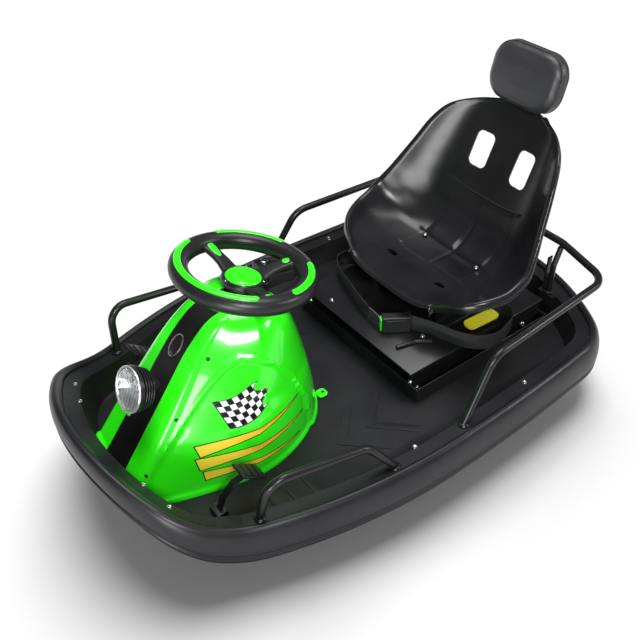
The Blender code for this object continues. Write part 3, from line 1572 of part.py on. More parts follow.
def make_headrest():
    """The head pad and the bracket that holds it behind the back of the seat."""
    head_pad("headrest_pad")
    behind = (SEAT_WALL + 2 * SEAT_GAP) / math.cos(BACK_LEAN)
    stations = [station for station in SEAT_STATIONS if station[1] > BRACKET_LOW_Z]
    inner = [(station[0] + behind, station[1]) for station in stations]
    inner[-1] = (stations[-1][0] + 2 * behind, stations[-1][1])
    inner.append((inner[-1][0] + BRACKET_THICKNESS, HEADREST_Z - HEADREST_HEIGHT * BRACKET_TOP_SHARE))
    outer = [(forward + BRACKET_THICKNESS, height) for forward, height in reversed(inner)]
    bracket = plate("headrest_bracket", [inner + outer], BRACKET_WIDTH, SIDEWAYS, "frame_black")
    cut(bracket, head_pad("pad_cutter", SEAT_GAP))


def strap(name, path):
    """A strap that stands on its edge on the seat plate, along a path seen from above."""
    low = TOP_PLATE_Z + SEAT_GAP
    points = [Vector((*place, low)) for place in path]
    rings = []
    for index, point in enumerate(points):
        ahead = points[min(index + 1, len(points) - 1)] - points[max(index - 1, 0)]
        face = Vector((-ahead.y, ahead.x, 0)).normalized() * WEB_THICKNESS / 2
        rise = Vector((0, 0, WEB_WIDTH))
        rings.append([point + face, point - face, point - face + rise, point + face + rise])
    return loft(name, rings, "webbing_black")


def make_harness():
    """The lap belt that stands on its edge across the seat plate, joined at its buckle."""
    low = TOP_PLATE_Z + SEAT_GAP
    length, thickness, height = BUCKLE_SIZE
    reach = Vector((math.cos(BUCKLE_TURN), math.sin(BUCKLE_TURN), 0))
    centre = Vector((BUCKLE_X, BUCKLE_Y, low + height / 2))
    turn = Matrix.Rotation(BUCKLE_TURN, 4, "Z")
    placed_box("belt_buckle", BUCKLE_SIZE, Matrix.Translation(centre) @ turn, "webbing_black", bevel=0.004)
    near_end = centre + reach * (length / 2 + 3 * SEAT_GAP)
    left_run = [(across, BASE_FRONT + forward) for across, forward in BELT_LEFT]
    strap("belt_left", [(near_end.x, near_end.y)] + left_run)
    tongue_end = centre - reach * (length / 2 + SEAT_GAP)
    tongue_start = tongue_end + Vector((-TONGUE_LENGTH, TONGUE_RISE, 0))
    middle = (tongue_start + tongue_end) / 2
    ahead = tongue_end - tongue_start
    facing_along = Matrix.Rotation(math.atan2(ahead.y, ahead.x), 4, "Z")
    size = (ahead.length - 2 * SEAT_GAP - 1.5 * TONGUE_THICKNESS, TONGUE_THICKNESS, TONGUE_HEIGHT)
    placed_box("belt_tongue", size, Matrix.Translation(middle) @ facing_along, "steel")
    right_run = [(across, BASE_FRONT + forward) for across, forward in BELT_RIGHT]
    strap("belt_right", [(tongue_start.x - SEAT_GAP, tongue_start.y)] + right_run)


clear_scene()
KART = make_collection("kids_electric_kart")
make_bumper()
make_tray()
make_frame()
make_steering_wheel()
make_column()
make_drive_wheel()
make_caster(1, "left")
make_caster(-1, "right")
make_cowl()
make_lamp()
make_control_box()
make_pedals()
make_hoops()
make_rail()
make_rear_posts()
make_seat_base()
make_release()
make_seat()
make_headrest()
make_harness()
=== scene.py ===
"""Kids electric go-kart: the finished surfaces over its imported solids.

Metres, +Z up, the nose towards -Y and the driver's left towards +X. Each class
builds one sub-assembly, rides its pieces on the frame's bodies and names the
solids that they stand for.
"""

import json
import logging
import math
from dataclasses import dataclass
from enum import Enum

import bmesh
import bpy
import numpy as np
from mathutils import Matrix, Vector
from mathutils.bvhtree import BVHTree

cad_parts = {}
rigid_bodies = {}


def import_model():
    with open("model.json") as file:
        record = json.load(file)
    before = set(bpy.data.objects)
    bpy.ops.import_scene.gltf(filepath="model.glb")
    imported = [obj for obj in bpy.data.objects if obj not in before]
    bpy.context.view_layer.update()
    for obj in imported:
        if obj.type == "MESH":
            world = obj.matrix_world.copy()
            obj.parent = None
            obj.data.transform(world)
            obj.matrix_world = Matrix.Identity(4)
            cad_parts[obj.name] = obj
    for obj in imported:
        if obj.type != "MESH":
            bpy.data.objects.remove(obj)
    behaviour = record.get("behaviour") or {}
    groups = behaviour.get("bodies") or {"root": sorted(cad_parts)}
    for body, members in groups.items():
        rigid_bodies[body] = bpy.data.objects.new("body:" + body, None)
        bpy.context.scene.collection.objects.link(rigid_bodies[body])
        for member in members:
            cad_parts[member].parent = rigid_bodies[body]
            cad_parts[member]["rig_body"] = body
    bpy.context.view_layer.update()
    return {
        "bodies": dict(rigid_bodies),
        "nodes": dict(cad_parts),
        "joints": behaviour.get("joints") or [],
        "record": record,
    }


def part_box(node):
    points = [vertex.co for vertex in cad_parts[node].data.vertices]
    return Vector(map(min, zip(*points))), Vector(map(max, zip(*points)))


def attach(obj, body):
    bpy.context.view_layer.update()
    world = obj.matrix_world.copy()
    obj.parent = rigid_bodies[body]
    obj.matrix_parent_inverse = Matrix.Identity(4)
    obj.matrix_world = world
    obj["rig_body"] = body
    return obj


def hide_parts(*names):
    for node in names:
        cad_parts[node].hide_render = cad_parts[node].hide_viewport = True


LOG = logging.getLogger("kart")

Point = tuple[float, float, float]
Colour = tuple[float, float, float]

LIME: Colour = (0.022, 0.830, 0.004)
INK: Colour = (0.004, 0.004, 0.005)
PAPER: Colour = (0.86, 0.86, 0.84)
YELLOW: Colour = (0.90, 0.72, 0.05)
ORANGE: Colour = (0.90, 0.40, 0.02)

GLOSS = {"coat": 0.7, "grain": 60.0, "depth": 2e-5, "cloud": 0.03}
COAT_ROUGHNESS = 0.02
GLASS_INDEX = 1.45
SMOOTH_DEGREES = 35.0
EDGE_DEGREES = 30.0
WELD = 0.00001
TINY = 1e-12
SEAM_GAP = 0.0006
TRAY_GAP = 0.0008
BEAD_SIDES = 8
PRESSURE = 4.0


class Value:
    """A shader socket that is written with Python operators."""

    def __init__(self, graph: "Graph", socket: bpy.types.NodeSocket) -> None:
        """Keeps a socket with the graph that it belongs to."""
        self.graph = graph
        self.socket = socket

    def maths(self, operation: str, *operands: object) -> "Value":
        """Adds one Math node on the operands."""
        return self.graph.node("ShaderNodeMath", {"operation": operation}, dict(enumerate(operands)))

    def __add__(self, other: object) -> "Value":
        """The sum."""
        return self.maths("ADD", self, other)

    def __radd__(self, other: object) -> "Value":
        """The sum, from the other side."""
        return self.maths("ADD", other, self)

    def __sub__(self, other: object) -> "Value":
        """The difference."""
        return self.maths("SUBTRACT", self, other)

    def __rsub__(self, other: object) -> "Value":
        """The difference, from the other side."""
        return self.maths("SUBTRACT", other, self)

    def __mul__(self, other: object) -> "Value":
        """The product."""
        return self.maths("MULTIPLY", self, other)

    def __truediv__(self, other: object) -> "Value":
        """The quotient."""
        return self.maths("DIVIDE", self, other)

    def size(self) -> "Value":
        """The value without its sign."""
        return self.maths("ABSOLUTE", self)

    def whole(self) -> "Value":
        """The value rounded down."""
        return self.maths("FLOOR", self)

    def rest(self) -> "Value":
        """What is left after rounding down."""
        return self.maths("FRACT", self)

    def sine(self) -> "Value":
        """The sine of the value."""
        return self.maths("SINE", self)

    def smooth(self, low: float, high: float) -> "Value":
        """A smooth step from 0 at low to 1 at high.

        Args:
            low: The value at which the step starts.
            high: The value at which the step ends.

        Returns:
            The step's value.
        """
        settings = {"interpolation_type": "SMOOTHSTEP"}
        return self.graph.node("ShaderNodeMapRange", settings, {0: self, 1: low, 2: high})


class Graph:
    """A material's node tree, built one node at a time."""

    def __init__(self, name: str) -> None:
        """Makes an empty material with its main shader.

        Args:
            name: The material's name.
        """
        self.material = bpy.data.materials.new(name)
        self.material.use_nodes = True
        self.tree = self.material.node_tree
        self.shader = self.tree.nodes["Principled BSDF"]
        self._object = None

    def connect(self, socket: bpy.types.NodeSocket, value: object) -> None:
        """Links a value to a socket, or writes a constant on it.

        Args:
            socket: The input.
            value: A Value, a number, a colour or a vector.
        """
        if isinstance(value, Value):
            self.tree.links.new(value.socket, socket)
        elif isinstance(value, tuple) and len(value) == 3 and socket.type == "RGBA":
            socket.default_value = (*value, 1.0)
        else:
            socket.default_value = value

    def node(self, kind: str, settings: dict, inputs: dict, output: int = 0) -> Value:
        """Adds a node.

        Args:
            kind: The node's type.
            settings: Its properties, which are set first.
            inputs: Values or links by the socket's name or number.
            output: The number of the output that is wanted.

        Returns:
            The output's value.
        """
        made = self.tree.nodes.new(kind)
        for key, value in settings.items():
            setattr(made, key, value)
        for key, value in inputs.items():
            self.connect(made.inputs[key], value)
        return Value(self, made.outputs[output])

    def place(self) -> Value:
        """The point on the object, in metres."""
        if self._object is None:
            self._object = self.node("ShaderNodeTexCoord", {}, {}, 3)
        return self._object

    def axes(self, source: Value | None = None) -> list[Value]:
        """Three values of a vector.

        Args:
            source: The vector, or None for the point on the object.

        Returns:
            Its X, Y and Z.
        """
        split = self.tree.nodes.new("ShaderNodeSeparateXYZ")
        self.connect(split.inputs[0], source or self.place())
        return [Value(self, output) for output in split.outputs]

    def stretched(self, scale: Point) -> Value:
        """The point on the object with each axis scaled."""
        return self.node("ShaderNodeVectorMath", {"operation": "MULTIPLY"}, {0: self.place(), 1: scale})

    def noise(self, scale: float, detail: float = 2.0, place: Value | None = None) -> Value:
        """Cloudy values about 0.5.

        Args:
            scale: Cells in one metre.
            detail: How many finer layers are added.
            place: The point, or None for the point on the object.

        Returns:
            The noise.
        """
        inputs = {"Vector": place or self.place(), "Scale": scale, "Detail": detail}
        return self.node("ShaderNodeTexNoise", {}, inputs)

    def cells(self, scale: float) -> Value:
        """The distance to the nearest of scattered points, as on grained hide."""
        return self.node("ShaderNodeTexVoronoi", {}, {"Vector": self.place(), "Scale": scale})

    def mix(self, share: object, first: object, second: object) -> Value:
        """Mixes two colours.

        Args:
            share: How much of the second shows.
            first: The first colour.
            second: The second colour.

        Returns:
            The mixed colour.
        """
        return self.node("ShaderNodeMix", {"data_type": "RGBA"}, {0: share, 6: first, 7: second}, 2)

    def bump(self, height: Value, distance: float, strength: float = 1.0) -> Value:
        """A normal that a height bends."""
        return self.node("ShaderNodeBump", {}, {"Height": height, "Distance": distance, "Strength": strength})

    def finish(self, **inputs: object) -> bpy.types.Material:
        """Sets the main shader's inputs, whose names have underscores for spaces."""
        for key, value in inputs.items():
            self.connect(self.shader.inputs[key.replace("_", " ")], value)
        return self.material


@dataclass(frozen=True)
class Moulded:
    """Moulded or painted stuff with a fine grain and uneven gloss."""

    name: str
    slot: str
    colour: Colour
    roughness: float
    metallic: float = 0.0
    coat: float = 0.0
    grain: float = 900.0
    depth: float = 0.00006
    cloud: float = 0.22
    scuff: float = 0.10
    specular: float = 0.5

    def tint(self, graph: Graph) -> Value:
        """The colour over the surface."""
        lighter = tuple(min(1.0, part * (1.0 + self.cloud) + 0.004) for part in self.colour)
        return graph.mix(graph.noise(9.0, 3.0).smooth(0.3, 0.7), self.colour, lighter)

    def gloss(self, graph: Graph) -> Value:
        """The roughness over the surface, with long faint scuffs."""
        scuffs = graph.noise(60.0, 4.0, graph.stretched((1.0, 0.25, 1.0)))
        return self.roughness + (scuffs - 0.5) * self.scuff

    def relief(self, graph: Graph) -> Value:
        """The height of the grain."""
        return graph.noise(self.grain, 2.0)

    def make(self) -> bpy.types.Material:
        """Builds the material."""
        graph = Graph(self.name)
        graph.finish(
            Metallic=self.metallic,
            Coat_Weight=self.coat,
            Coat_Roughness=COAT_ROUGHNESS,
            Specular_IOR_Level=self.specular,
        )
        graph.finish(Base_Color=self.tint(graph), Roughness=self.gloss(graph))
        return graph.finish(Normal=graph.bump(self.relief(graph), self.depth))


@dataclass(frozen=True)
class Brushed(Moulded):
    """Bright metal with fine drawn lines."""

    def relief(self, graph: Graph) -> Value:
        """The height of the drawn lines."""
        return graph.noise(self.grain, 2.0, graph.stretched((1.0, 1.0, 0.06)))


@dataclass(frozen=True)
class Hide(Moulded):
    """Artificial leather with a pebbled grain."""

    def relief(self, graph: Graph) -> Value:
        """The height of the pebbles."""
        return graph.cells(self.grain) + graph.noise(self.grain * 0.4) * 0.5


@dataclass(frozen=True)
class Woven(Moulded):
    """Webbing, whose threads follow the piece's own UV map, in metres."""

    rib: float = 0.0022

    def relief(self, graph: Graph) -> Value:
        """The height of the slanted threads."""
        across, along, _ = graph.axes(graph.node("ShaderNodeUVMap", {"uv_map": "UVMap"}, {}))
        turn = math.tau / self.rib
        threads = ((along + (across * 1.2).size()) * turn).sine()
        return threads + (across * turn * 1.6).sine() * 0.7


@dataclass(frozen=True)
class Stripe:
    """A stripe on the cowl that tapers to the rear, in the plane of Y and Z."""

    start: tuple[float, float]
    end: tuple[float, float]
    half: float
    sag: float
    edge: float = 0.0019

    def paint(self, graph: Graph, along: Value, up: Value, under: Value) -> Value:
        """Lays the stripe with its dark outline over a colour.

        Args:
            graph: The material's graph.
            along: The place along the kart.
            up: The height.
            under: The colour beneath.

        Returns:
            The colour with the stripe.
        """
        reach = Vector(self.end) - Vector(self.start)
        length = reach.length
        unit = reach / length
        forward = along - self.start[0]
        rise = up - self.start[1]
        share = (forward * unit.x + rise * unit.y) / length
        off = (rise * unit.x - forward * unit.y - share * share * self.sag).size()
        width = (1.0 - share) * self.half
        edge_share = self.edge / length
        inside = (width - off).smooth(-0.0003, 0.0003) * share.smooth(0.0, 0.004)
        outline = (width + self.edge - off).smooth(-0.0003, 0.0003)
        outline = outline * share.smooth(-edge_share, 0.002 - edge_share) * (1.0 - share.smooth(1.0, 1.03))
        flame = graph.mix(share.smooth(0.1, 0.9), YELLOW, ORANGE)
        return graph.mix(inside, graph.mix(outline, under, INK), flame)


@dataclass(frozen=True)
class Chequer:
    """A band of checks on the cowl that breaks up to the rear, in the plane of Y and Z."""

    corner: tuple[float, float] = (-0.330, 0.222)
    turn: float = math.radians(14.0)
    cell: float = 0.0098
    columns: float = 8.0
    rows: float = 5.0
    edge: float = 0.18

    def paint(self, graph: Graph, along: Value, up: Value, under: Value) -> Value:
        """Lays the checks with their dark outline over a colour.

        Args:
            graph: The material's graph.
            along: The place along the kart.
            up: The height.
            under: The colour beneath.

        Returns:
            The colour with the checks.
        """
        forward = (along - self.corner[0]) / self.cell
        rise = (up - self.corner[1]) / self.cell
        column = forward * math.cos(self.turn) + rise * math.sin(self.turn)
        row = rise * math.cos(self.turn) - forward * math.sin(self.turn)
        row = row + (column * 0.55).sine() * 0.45
        end = self.columns - (row.size() * 1.9).sine() * 1.1
        inside = row.smooth(0.0, 0.05) * (1.0 - row.smooth(self.rows - 0.05, self.rows))
        inside = inside * column.smooth(0.0, 0.05) * (end - column).smooth(0.0, 0.05)
        edge = self.edge
        outline = row.smooth(-edge, 0.05 - edge) * (1.0 - row.smooth(self.rows, self.rows + edge))
        outline = outline * column.smooth(-edge, 0.05 - edge) * (end - column).smooth(-edge, 0.05 - edge)
        odd = ((column.whole() + row.whole()) * 0.5).rest() * 2.0
        checks = graph.mix(odd.smooth(0.4, 0.6), INK, PAPER)
        return graph.mix(inside, graph.mix(outline, under, INK), checks)


@dataclass(frozen=True)
class Decorated(Moulded):
    """The cowl's gloss plastic with its printed checks and stripes."""

    marks: tuple = (
        Stripe((-0.392, 0.186), (-0.186, 0.222), 0.0105, -0.010),
        Stripe((-0.398, 0.160), (-0.176, 0.180), 0.0115, -0.014),
        Stripe((-0.392, 0.134), (-0.190, 0.140), 0.0095, -0.016),
        Chequer(),
    )

    def tint(self, graph: Graph) -> Value:
        """The plastic's colour with the prints on it."""
        colour = super().tint(graph)
        _, along, up = graph.axes()
        for mark in self.marks:
            colour = mark.paint(graph, along, up, colour)
        return colour


@dataclass(frozen=True)
class Clear(Moulded):
    """Clear glass or plastic."""

    def make(self) -> bpy.types.Material:
        """Builds the material."""
        graph = Graph(self.name)
        graph.finish(Base_Color=self.colour, Transmission_Weight=1.0, IOR=GLASS_INDEX)
        smears = graph.noise(40.0, 3.0)
        return graph.finish(Roughness=self.roughness + smears * 0.02)


class Surface(Enum):
    """The kart's finishes."""

    BUMPER = Moulded("bumper_rubber", "bumper_black", (0.006, 0.006, 0.008), 0.38, grain=700.0, scuff=0.12)
    TRAY = Moulded("tray_plastic", "tray_black", (0.005, 0.005, 0.006), 0.46, grain=1100.0, specular=0.32)
    GREEN = Moulded("green_plastic", "cowl_green", LIME, 0.22, **GLOSS)
    COWL = Decorated("cowl_plastic", "cowl_green", LIME, 0.22, **GLOSS)
    STRIP = Moulded("strip_plastic", "strip_black", (0.005, 0.005, 0.005), 0.46, grain=1000.0, specular=0.22)
    STEEL_BLACK = Moulded("powder_coat", "frame_black", (0.005, 0.005, 0.006), 0.30, grain=1400.0, depth=5e-5)
    SEAT = Moulded("seat_plastic", "seat_black", (0.006, 0.006, 0.007), 0.24, grain=120.0, depth=3e-5)
    # The pad's base colour is lighter than the other blacks: painted sheen, the brightness of its soft gloss
    # laid into the colour.
    PAD = Hide("pad_cover", "pad_black", (0.026, 0.026, 0.029), 0.36, grain=650.0, depth=12e-5)
    PIPING = Hide("pad_piping", "pad_black", (0.010, 0.010, 0.011), 0.36, grain=900.0, depth=1e-4)
    GRIP = Moulded("grip_rubber", "rim_black", (0.008, 0.008, 0.009), 0.34, grain=1500.0, depth=8e-5)
    LAMP = Moulded("lamp_coat", "lamp_black", (0.008, 0.008, 0.009), 0.34, grain=1300.0)
    MIRROR = Brushed("lamp_mirror", "steel", (0.94, 0.94, 0.96), 0.34, metallic=0.85, grain=200.0, depth=2e-5)
    GLASS = Clear("lamp_glass", "lens_clear", (0.95, 0.97, 0.97), 0.02)
    STEEL = Brushed("bright_zinc", "steel", (0.60, 0.60, 0.62), 0.28, metallic=1.0, grain=900.0, depth=4e-5)
    YELLOW = Moulded("yellow_grip", "tab_yellow", (0.86, 0.80, 0.03), 0.38, coat=0.3, grain=500.0)
    WEB = Woven("webbing", "webbing_black", (0.012, 0.012, 0.013), 0.46, depth=18e-5)
    BUCKLE = Moulded("buckle_plastic", "webbing_black", (0.010, 0.010, 0.011), 0.40, grain=1200.0, depth=6e-5)
    TYRE = Moulded("tyre_rubber", "tyre_black", (0.016, 0.016, 0.016), 0.70, grain=900.0, depth=15e-5)
    CASTER = Moulded("caster_plastic", "caster_white", (0.78, 0.78, 0.76), 0.42, grain=600.0)
    CASE = Moulded("battery_case", "battery_grey", (0.09, 0.09, 0.10), 0.55, grain=900.0)


def eased(value: float, low: float, high: float) -> float:
    """A smooth step from 0 at low to 1 at high."""
    share = min(1.0, max(0.0, (value - low) / (high - low)))
    return share * share * (3.0 - 2.0 * share)


def hermite(places: np.ndarray, values: np.ndarray, at: np.ndarray) -> np.ndarray:
    """A curve through rows that never swings past them.

    Args:
        places: Rising places of the rows.
        values: The rows' values.
        at: The places that are wanted.

    Returns:
        The values there.
    """
    steps = np.diff(places)
    slopes = np.diff(values) / steps
    bends = np.empty_like(values)
    bends[0], bends[-1] = slopes[0], slopes[-1]
    same = slopes[:-1] * slopes[1:] > 0
    total = np.where(same, slopes[:-1] + slopes[1:], 1.0)
    bends[1:-1] = np.where(same, 2.0 * slopes[:-1] * slopes[1:] / total, 0.0)
    index = np.clip(np.searchsorted(places, at, side="right") - 1, 0, len(places) - 2)
    step = steps[index]
    t = (at - places[index]) / step
    first = (2 * t**3 - 3 * t**2 + 1) * values[index] + (t**3 - 2 * t**2 + t) * step * bends[index]
    return first + (3 * t**2 - 2 * t**3) * values[index + 1] + (t**3 - t**2) * step * bends[index + 1]


def curved(near: list[Vector], share: float) -> Vector:
    """The point at a share of the way from the second of four corners to the third."""
    a, b, c, d = near
    place = 2 * b + (c - a) * share + (2 * a - 5 * b + 4 * c - d) * share * share
    return (place + (3 * b - a - 3 * c + d) * share**3) * 0.5


def ringed(points: list[tuple[float, float]], steps: int) -> list[tuple[float, float]]:
    """A smooth closed line through flat points.

    Args:
        points: The line's corners.
        steps: How many points each of its stretches gets.

    Returns:
        The finer points.
    """
    made = []
    count = len(points)
    for index in range(count):
        near = [Vector(points[(index + shift) % count]) for shift in (-1, 0, 1, 2)]
        made += [tuple(curved(near, step / steps)) for step in range(steps)]
    return made


def bent(corners: list, radius: float, steps: int = 10) -> list[Vector]:
    """The points of a path whose inner corners are bent to arcs of one radius.

    Args:
        corners: The path's corners.
        radius: The arcs' radius.
        steps: How many steps each arc has.

    Returns:
        The path.
    """
    corners = [Vector(corner) for corner in corners]
    path = [corners[0]]
    for before, corner, after in zip(corners, corners[1:], corners[2:]):
        back = (before - corner).normalized()
        ahead = (after - corner).normalized()
        half = back.angle(ahead) / 2
        shorter = min((before - corner).length, (after - corner).length)
        reach = min(radius / math.tan(half), 0.49 * shorter)
        centre = corner + (back + ahead).normalized() * reach / math.cos(half)
        first, last = corner + back * reach - centre, corner + ahead * reach - centre
        turn = first.angle(last)
        for step in range(steps + 1):
            share = step / steps
            arm = first * math.sin((1 - share) * turn) + last * math.sin(share * turn)
            path.append(centre + arm / math.sin(turn))
    path.append(corners[-1])
    return path


def rounded(width: float, height: float, radius: float, steps: int = 4) -> list[tuple[float, float]]:
    """A rectangle about the origin with its corners rounded.

    Args:
        width: Its size across.
        height: Its size upwards.
        radius: The corners' radius.
        steps: How many steps each corner has.

    Returns:
        The outline.
    """
    points = []
    for quarter, (side, rise) in enumerate(((1, 1), (-1, 1), (-1, -1), (1, -1))):
        for step in range(steps + 1):
            angle = math.pi / 2 * (quarter + step / steps)
            across = side * (width / 2 - radius) + radius * math.cos(angle)
            points.append((across, rise * (height / 2 - radius) + radius * math.sin(angle)))
    return points


def circle(radius: float, sides: int) -> list[tuple[float, float]]:
    """A round outline about the origin."""
    turns = [math.tau * side / sides for side in range(sides)]
    return [(radius * math.cos(turn), radius * math.sin(turn)) for turn in turns]


def heading(path: list[Vector], index: int) -> Vector:
    """The direction of an open path at one of its points."""
    return (path[min(index + 1, len(path) - 1)] - path[max(index - 1, 0)]).normalized()


def spun(frame: Matrix, turn: float) -> Matrix:
    """A matrix turned about its own Z axis."""
    return frame @ Matrix.Rotation(turn, 4, "Z")


def loft(rings: list[list[Vector]], closed: bool = False, capped: bool = True) -> bmesh.types.BMesh:
    """A surface through rings of equally many points.

    Args:
        rings: The rings, each a closed line.
        closed: Whether the last ring joins the first.
        capped: Whether the two end rings are filled.

    Returns:
        The shape.
    """
    shape = bmesh.new()
    rows = [[shape.verts.new(point) for point in ring] for ring in rings]
    pairs = list(zip(rows, rows[1:]))
    if closed:
        pairs.append((rows[-1], rows[0]))
    elif capped:
        shape.faces.new(rows[0])
        shape.faces.new(rows[-1])
    for lower, upper in pairs:
        for index, corner in enumerate(lower):
            after = (index + 1) % len(lower)
            shape.faces.new((corner, lower[after], upper[after], upper[index]))
    return shape


def grid(rows: list[list[Vector]]) -> bmesh.types.BMesh:
    """An open sheet through rows of points."""
    shape = bmesh.new()
    lines = [[shape.verts.new(point) for point in row] for row in rows]
    for lower, upper in zip(lines, lines[1:]):
        for index in range(len(lower) - 1):
            shape.faces.new((lower[index], lower[index + 1], upper[index + 1], upper[index]))
    return shape


def swept(path: list[Vector], outline: list[tuple[float, float]], up: Vector) -> bmesh.types.BMesh:
    """An outline carried along a path without twisting.

    Args:
        path: The points that it follows.
        outline: Its points across and up.
        up: The outline's first upward direction.

    Returns:
        The shape.
    """
    rings = []
    for index, point in enumerate(path):
        ahead = heading(path, index)
        side = ahead.cross(up).normalized()
        up = side.cross(ahead).normalized()
        rings.append([point + side * across + up * rise for across, rise in outline])
    return loft(rings)


def tube(path: list[Vector], radius: float, sides: int = 20) -> bmesh.types.BMesh:
    """A round tube along a path."""
    first = (path[1] - path[0]).normalized()
    up = Vector((0, 0, 1)) if abs(first.z) < 0.9 else Vector((0, 1, 0))
    return swept(path, circle(radius, sides), up)


def hoop(path: list[Vector], ways: list[Vector], axis: Vector, radius: float) -> bmesh.types.BMesh:
    """A thin round bead along a closed path.

    Args:
        path: The path.
        ways: A direction across the path at each of its points.
        axis: The direction across both.
        radius: The bead's radius.

    Returns:
        The shape.
    """
    section = circle(radius, BEAD_SIDES)
    rings = [[point + way * x + axis * y for x, y in section] for point, way in zip(path, ways)]
    return loft(rings, closed=True)


def turned(profile: list[tuple[float, float]], matrix: Matrix, steps: int = 40) -> bmesh.types.BMesh:
    """A profile of radius and height turned about a matrix's Z axis.

    Args:
        profile: The rows, which start and end on the axis or close on themselves.
        matrix: The axis's place.
        steps: How many steps the turn has.

    Returns:
        The shape.
    """
    rings = []
    for step in range(steps):
        turn = spun(matrix, math.tau * step / steps)
        rings.append([turn @ Vector((radius, 0.0, height)) for radius, height in profile])
    shape = loft(rings, closed=True)
    bmesh.ops.remove_doubles(shape, verts=shape.verts, dist=WELD / 2)
    bmesh.ops.dissolve_degenerate(shape, edges=shape.edges, dist=WELD / 2)
    return shape


def slab(outline: list[tuple[float, float]], thickness: float, matrix: Matrix) -> bmesh.types.BMesh:
    """A flat outline with a thickness, centred on a matrix's plane."""
    half = thickness / 2
    return loft([[matrix @ Vector((x, y, rise)) for x, y in outline] for rise in (-half, half)])


def merged(shapes: list[bmesh.types.BMesh]) -> bmesh.types.BMesh:
    """Several shapes as one."""
    whole = bmesh.new()
    for shape in shapes:
        mesh = bpy.data.meshes.new("part")
        shape.to_mesh(mesh)
        whole.from_mesh(mesh)
        bpy.data.meshes.remove(mesh)
    return whole


def flipped(shape: bmesh.types.BMesh) -> bmesh.types.BMesh:
    """A copy on the other side of the kart."""
    twin = shape.copy()
    bmesh.ops.transform(twin, matrix=Matrix.Diagonal((-1.0, 1.0, 1.0, 1.0)), verts=twin.verts)
    bmesh.ops.reverse_faces(twin, faces=twin.faces)
    return twin


def facing(place: Point, out: Point) -> Matrix:
    """A matrix at a place whose Z points outwards."""
    return Matrix.Translation(place) @ Vector(out).to_track_quat("Z", "Y").to_matrix().to_4x4()


def outward(lines: list[list[Vector]]) -> list[list[Vector]]:
    """The outward direction at each point of a sheet.

    Args:
        lines: The sheet's rows.

    Returns:
        Rows of directions.
    """
    made = []
    for row, line in enumerate(lines):
        below, above = lines[max(row - 1, 0)], lines[min(row + 1, len(lines) - 1)]
        ways = []
        for column in range(len(line)):
            before, after = line[max(column - 1, 0)], line[min(column + 1, len(line) - 1)]
            way = (after - before).cross(above[column] - below[column])
            ways.append(way.normalized() if way.length > TINY else Vector((0, 0, 1)))
        made.append(ways)
    return made


def meshed(shape: bmesh.types.BMesh, name: str) -> bpy.types.Mesh:
    """A mesh of a shape, which is used up."""
    mesh = bpy.data.meshes.new(name)
    shape.to_mesh(mesh)
    shape.free()
    return mesh


def shaded(mesh: bpy.types.Mesh, degrees: float) -> None:
    """Shades a mesh smooth but for edges over an angle."""
    mesh.shade_smooth()
    mesh.set_sharp_from_angle(angle=math.radians(degrees))


def linked(name: str, data: bpy.types.ID) -> bpy.types.Object:
    """A new object in the scene."""
    thing = bpy.data.objects.new(name, data)
    bpy.context.scene.collection.objects.link(thing)
    return thing


def edged(piece: bpy.types.Object, width: float, degrees: float = EDGE_DEGREES) -> None:
    """Rounds a piece's edges over an angle."""
    edge = piece.modifiers.new("Edge", "BEVEL")
    edge.width = width
    edge.segments = 2
    edge.limit_method = "ANGLE"
    edge.angle_limit = math.radians(degrees)


def settled(piece: bpy.types.Object) -> bpy.types.Mesh:
    """A new mesh of a piece as its modifiers leave it."""
    graph = bpy.context.evaluated_depsgraph_get()
    return bpy.data.meshes.new_from_object(piece.evaluated_get(graph))


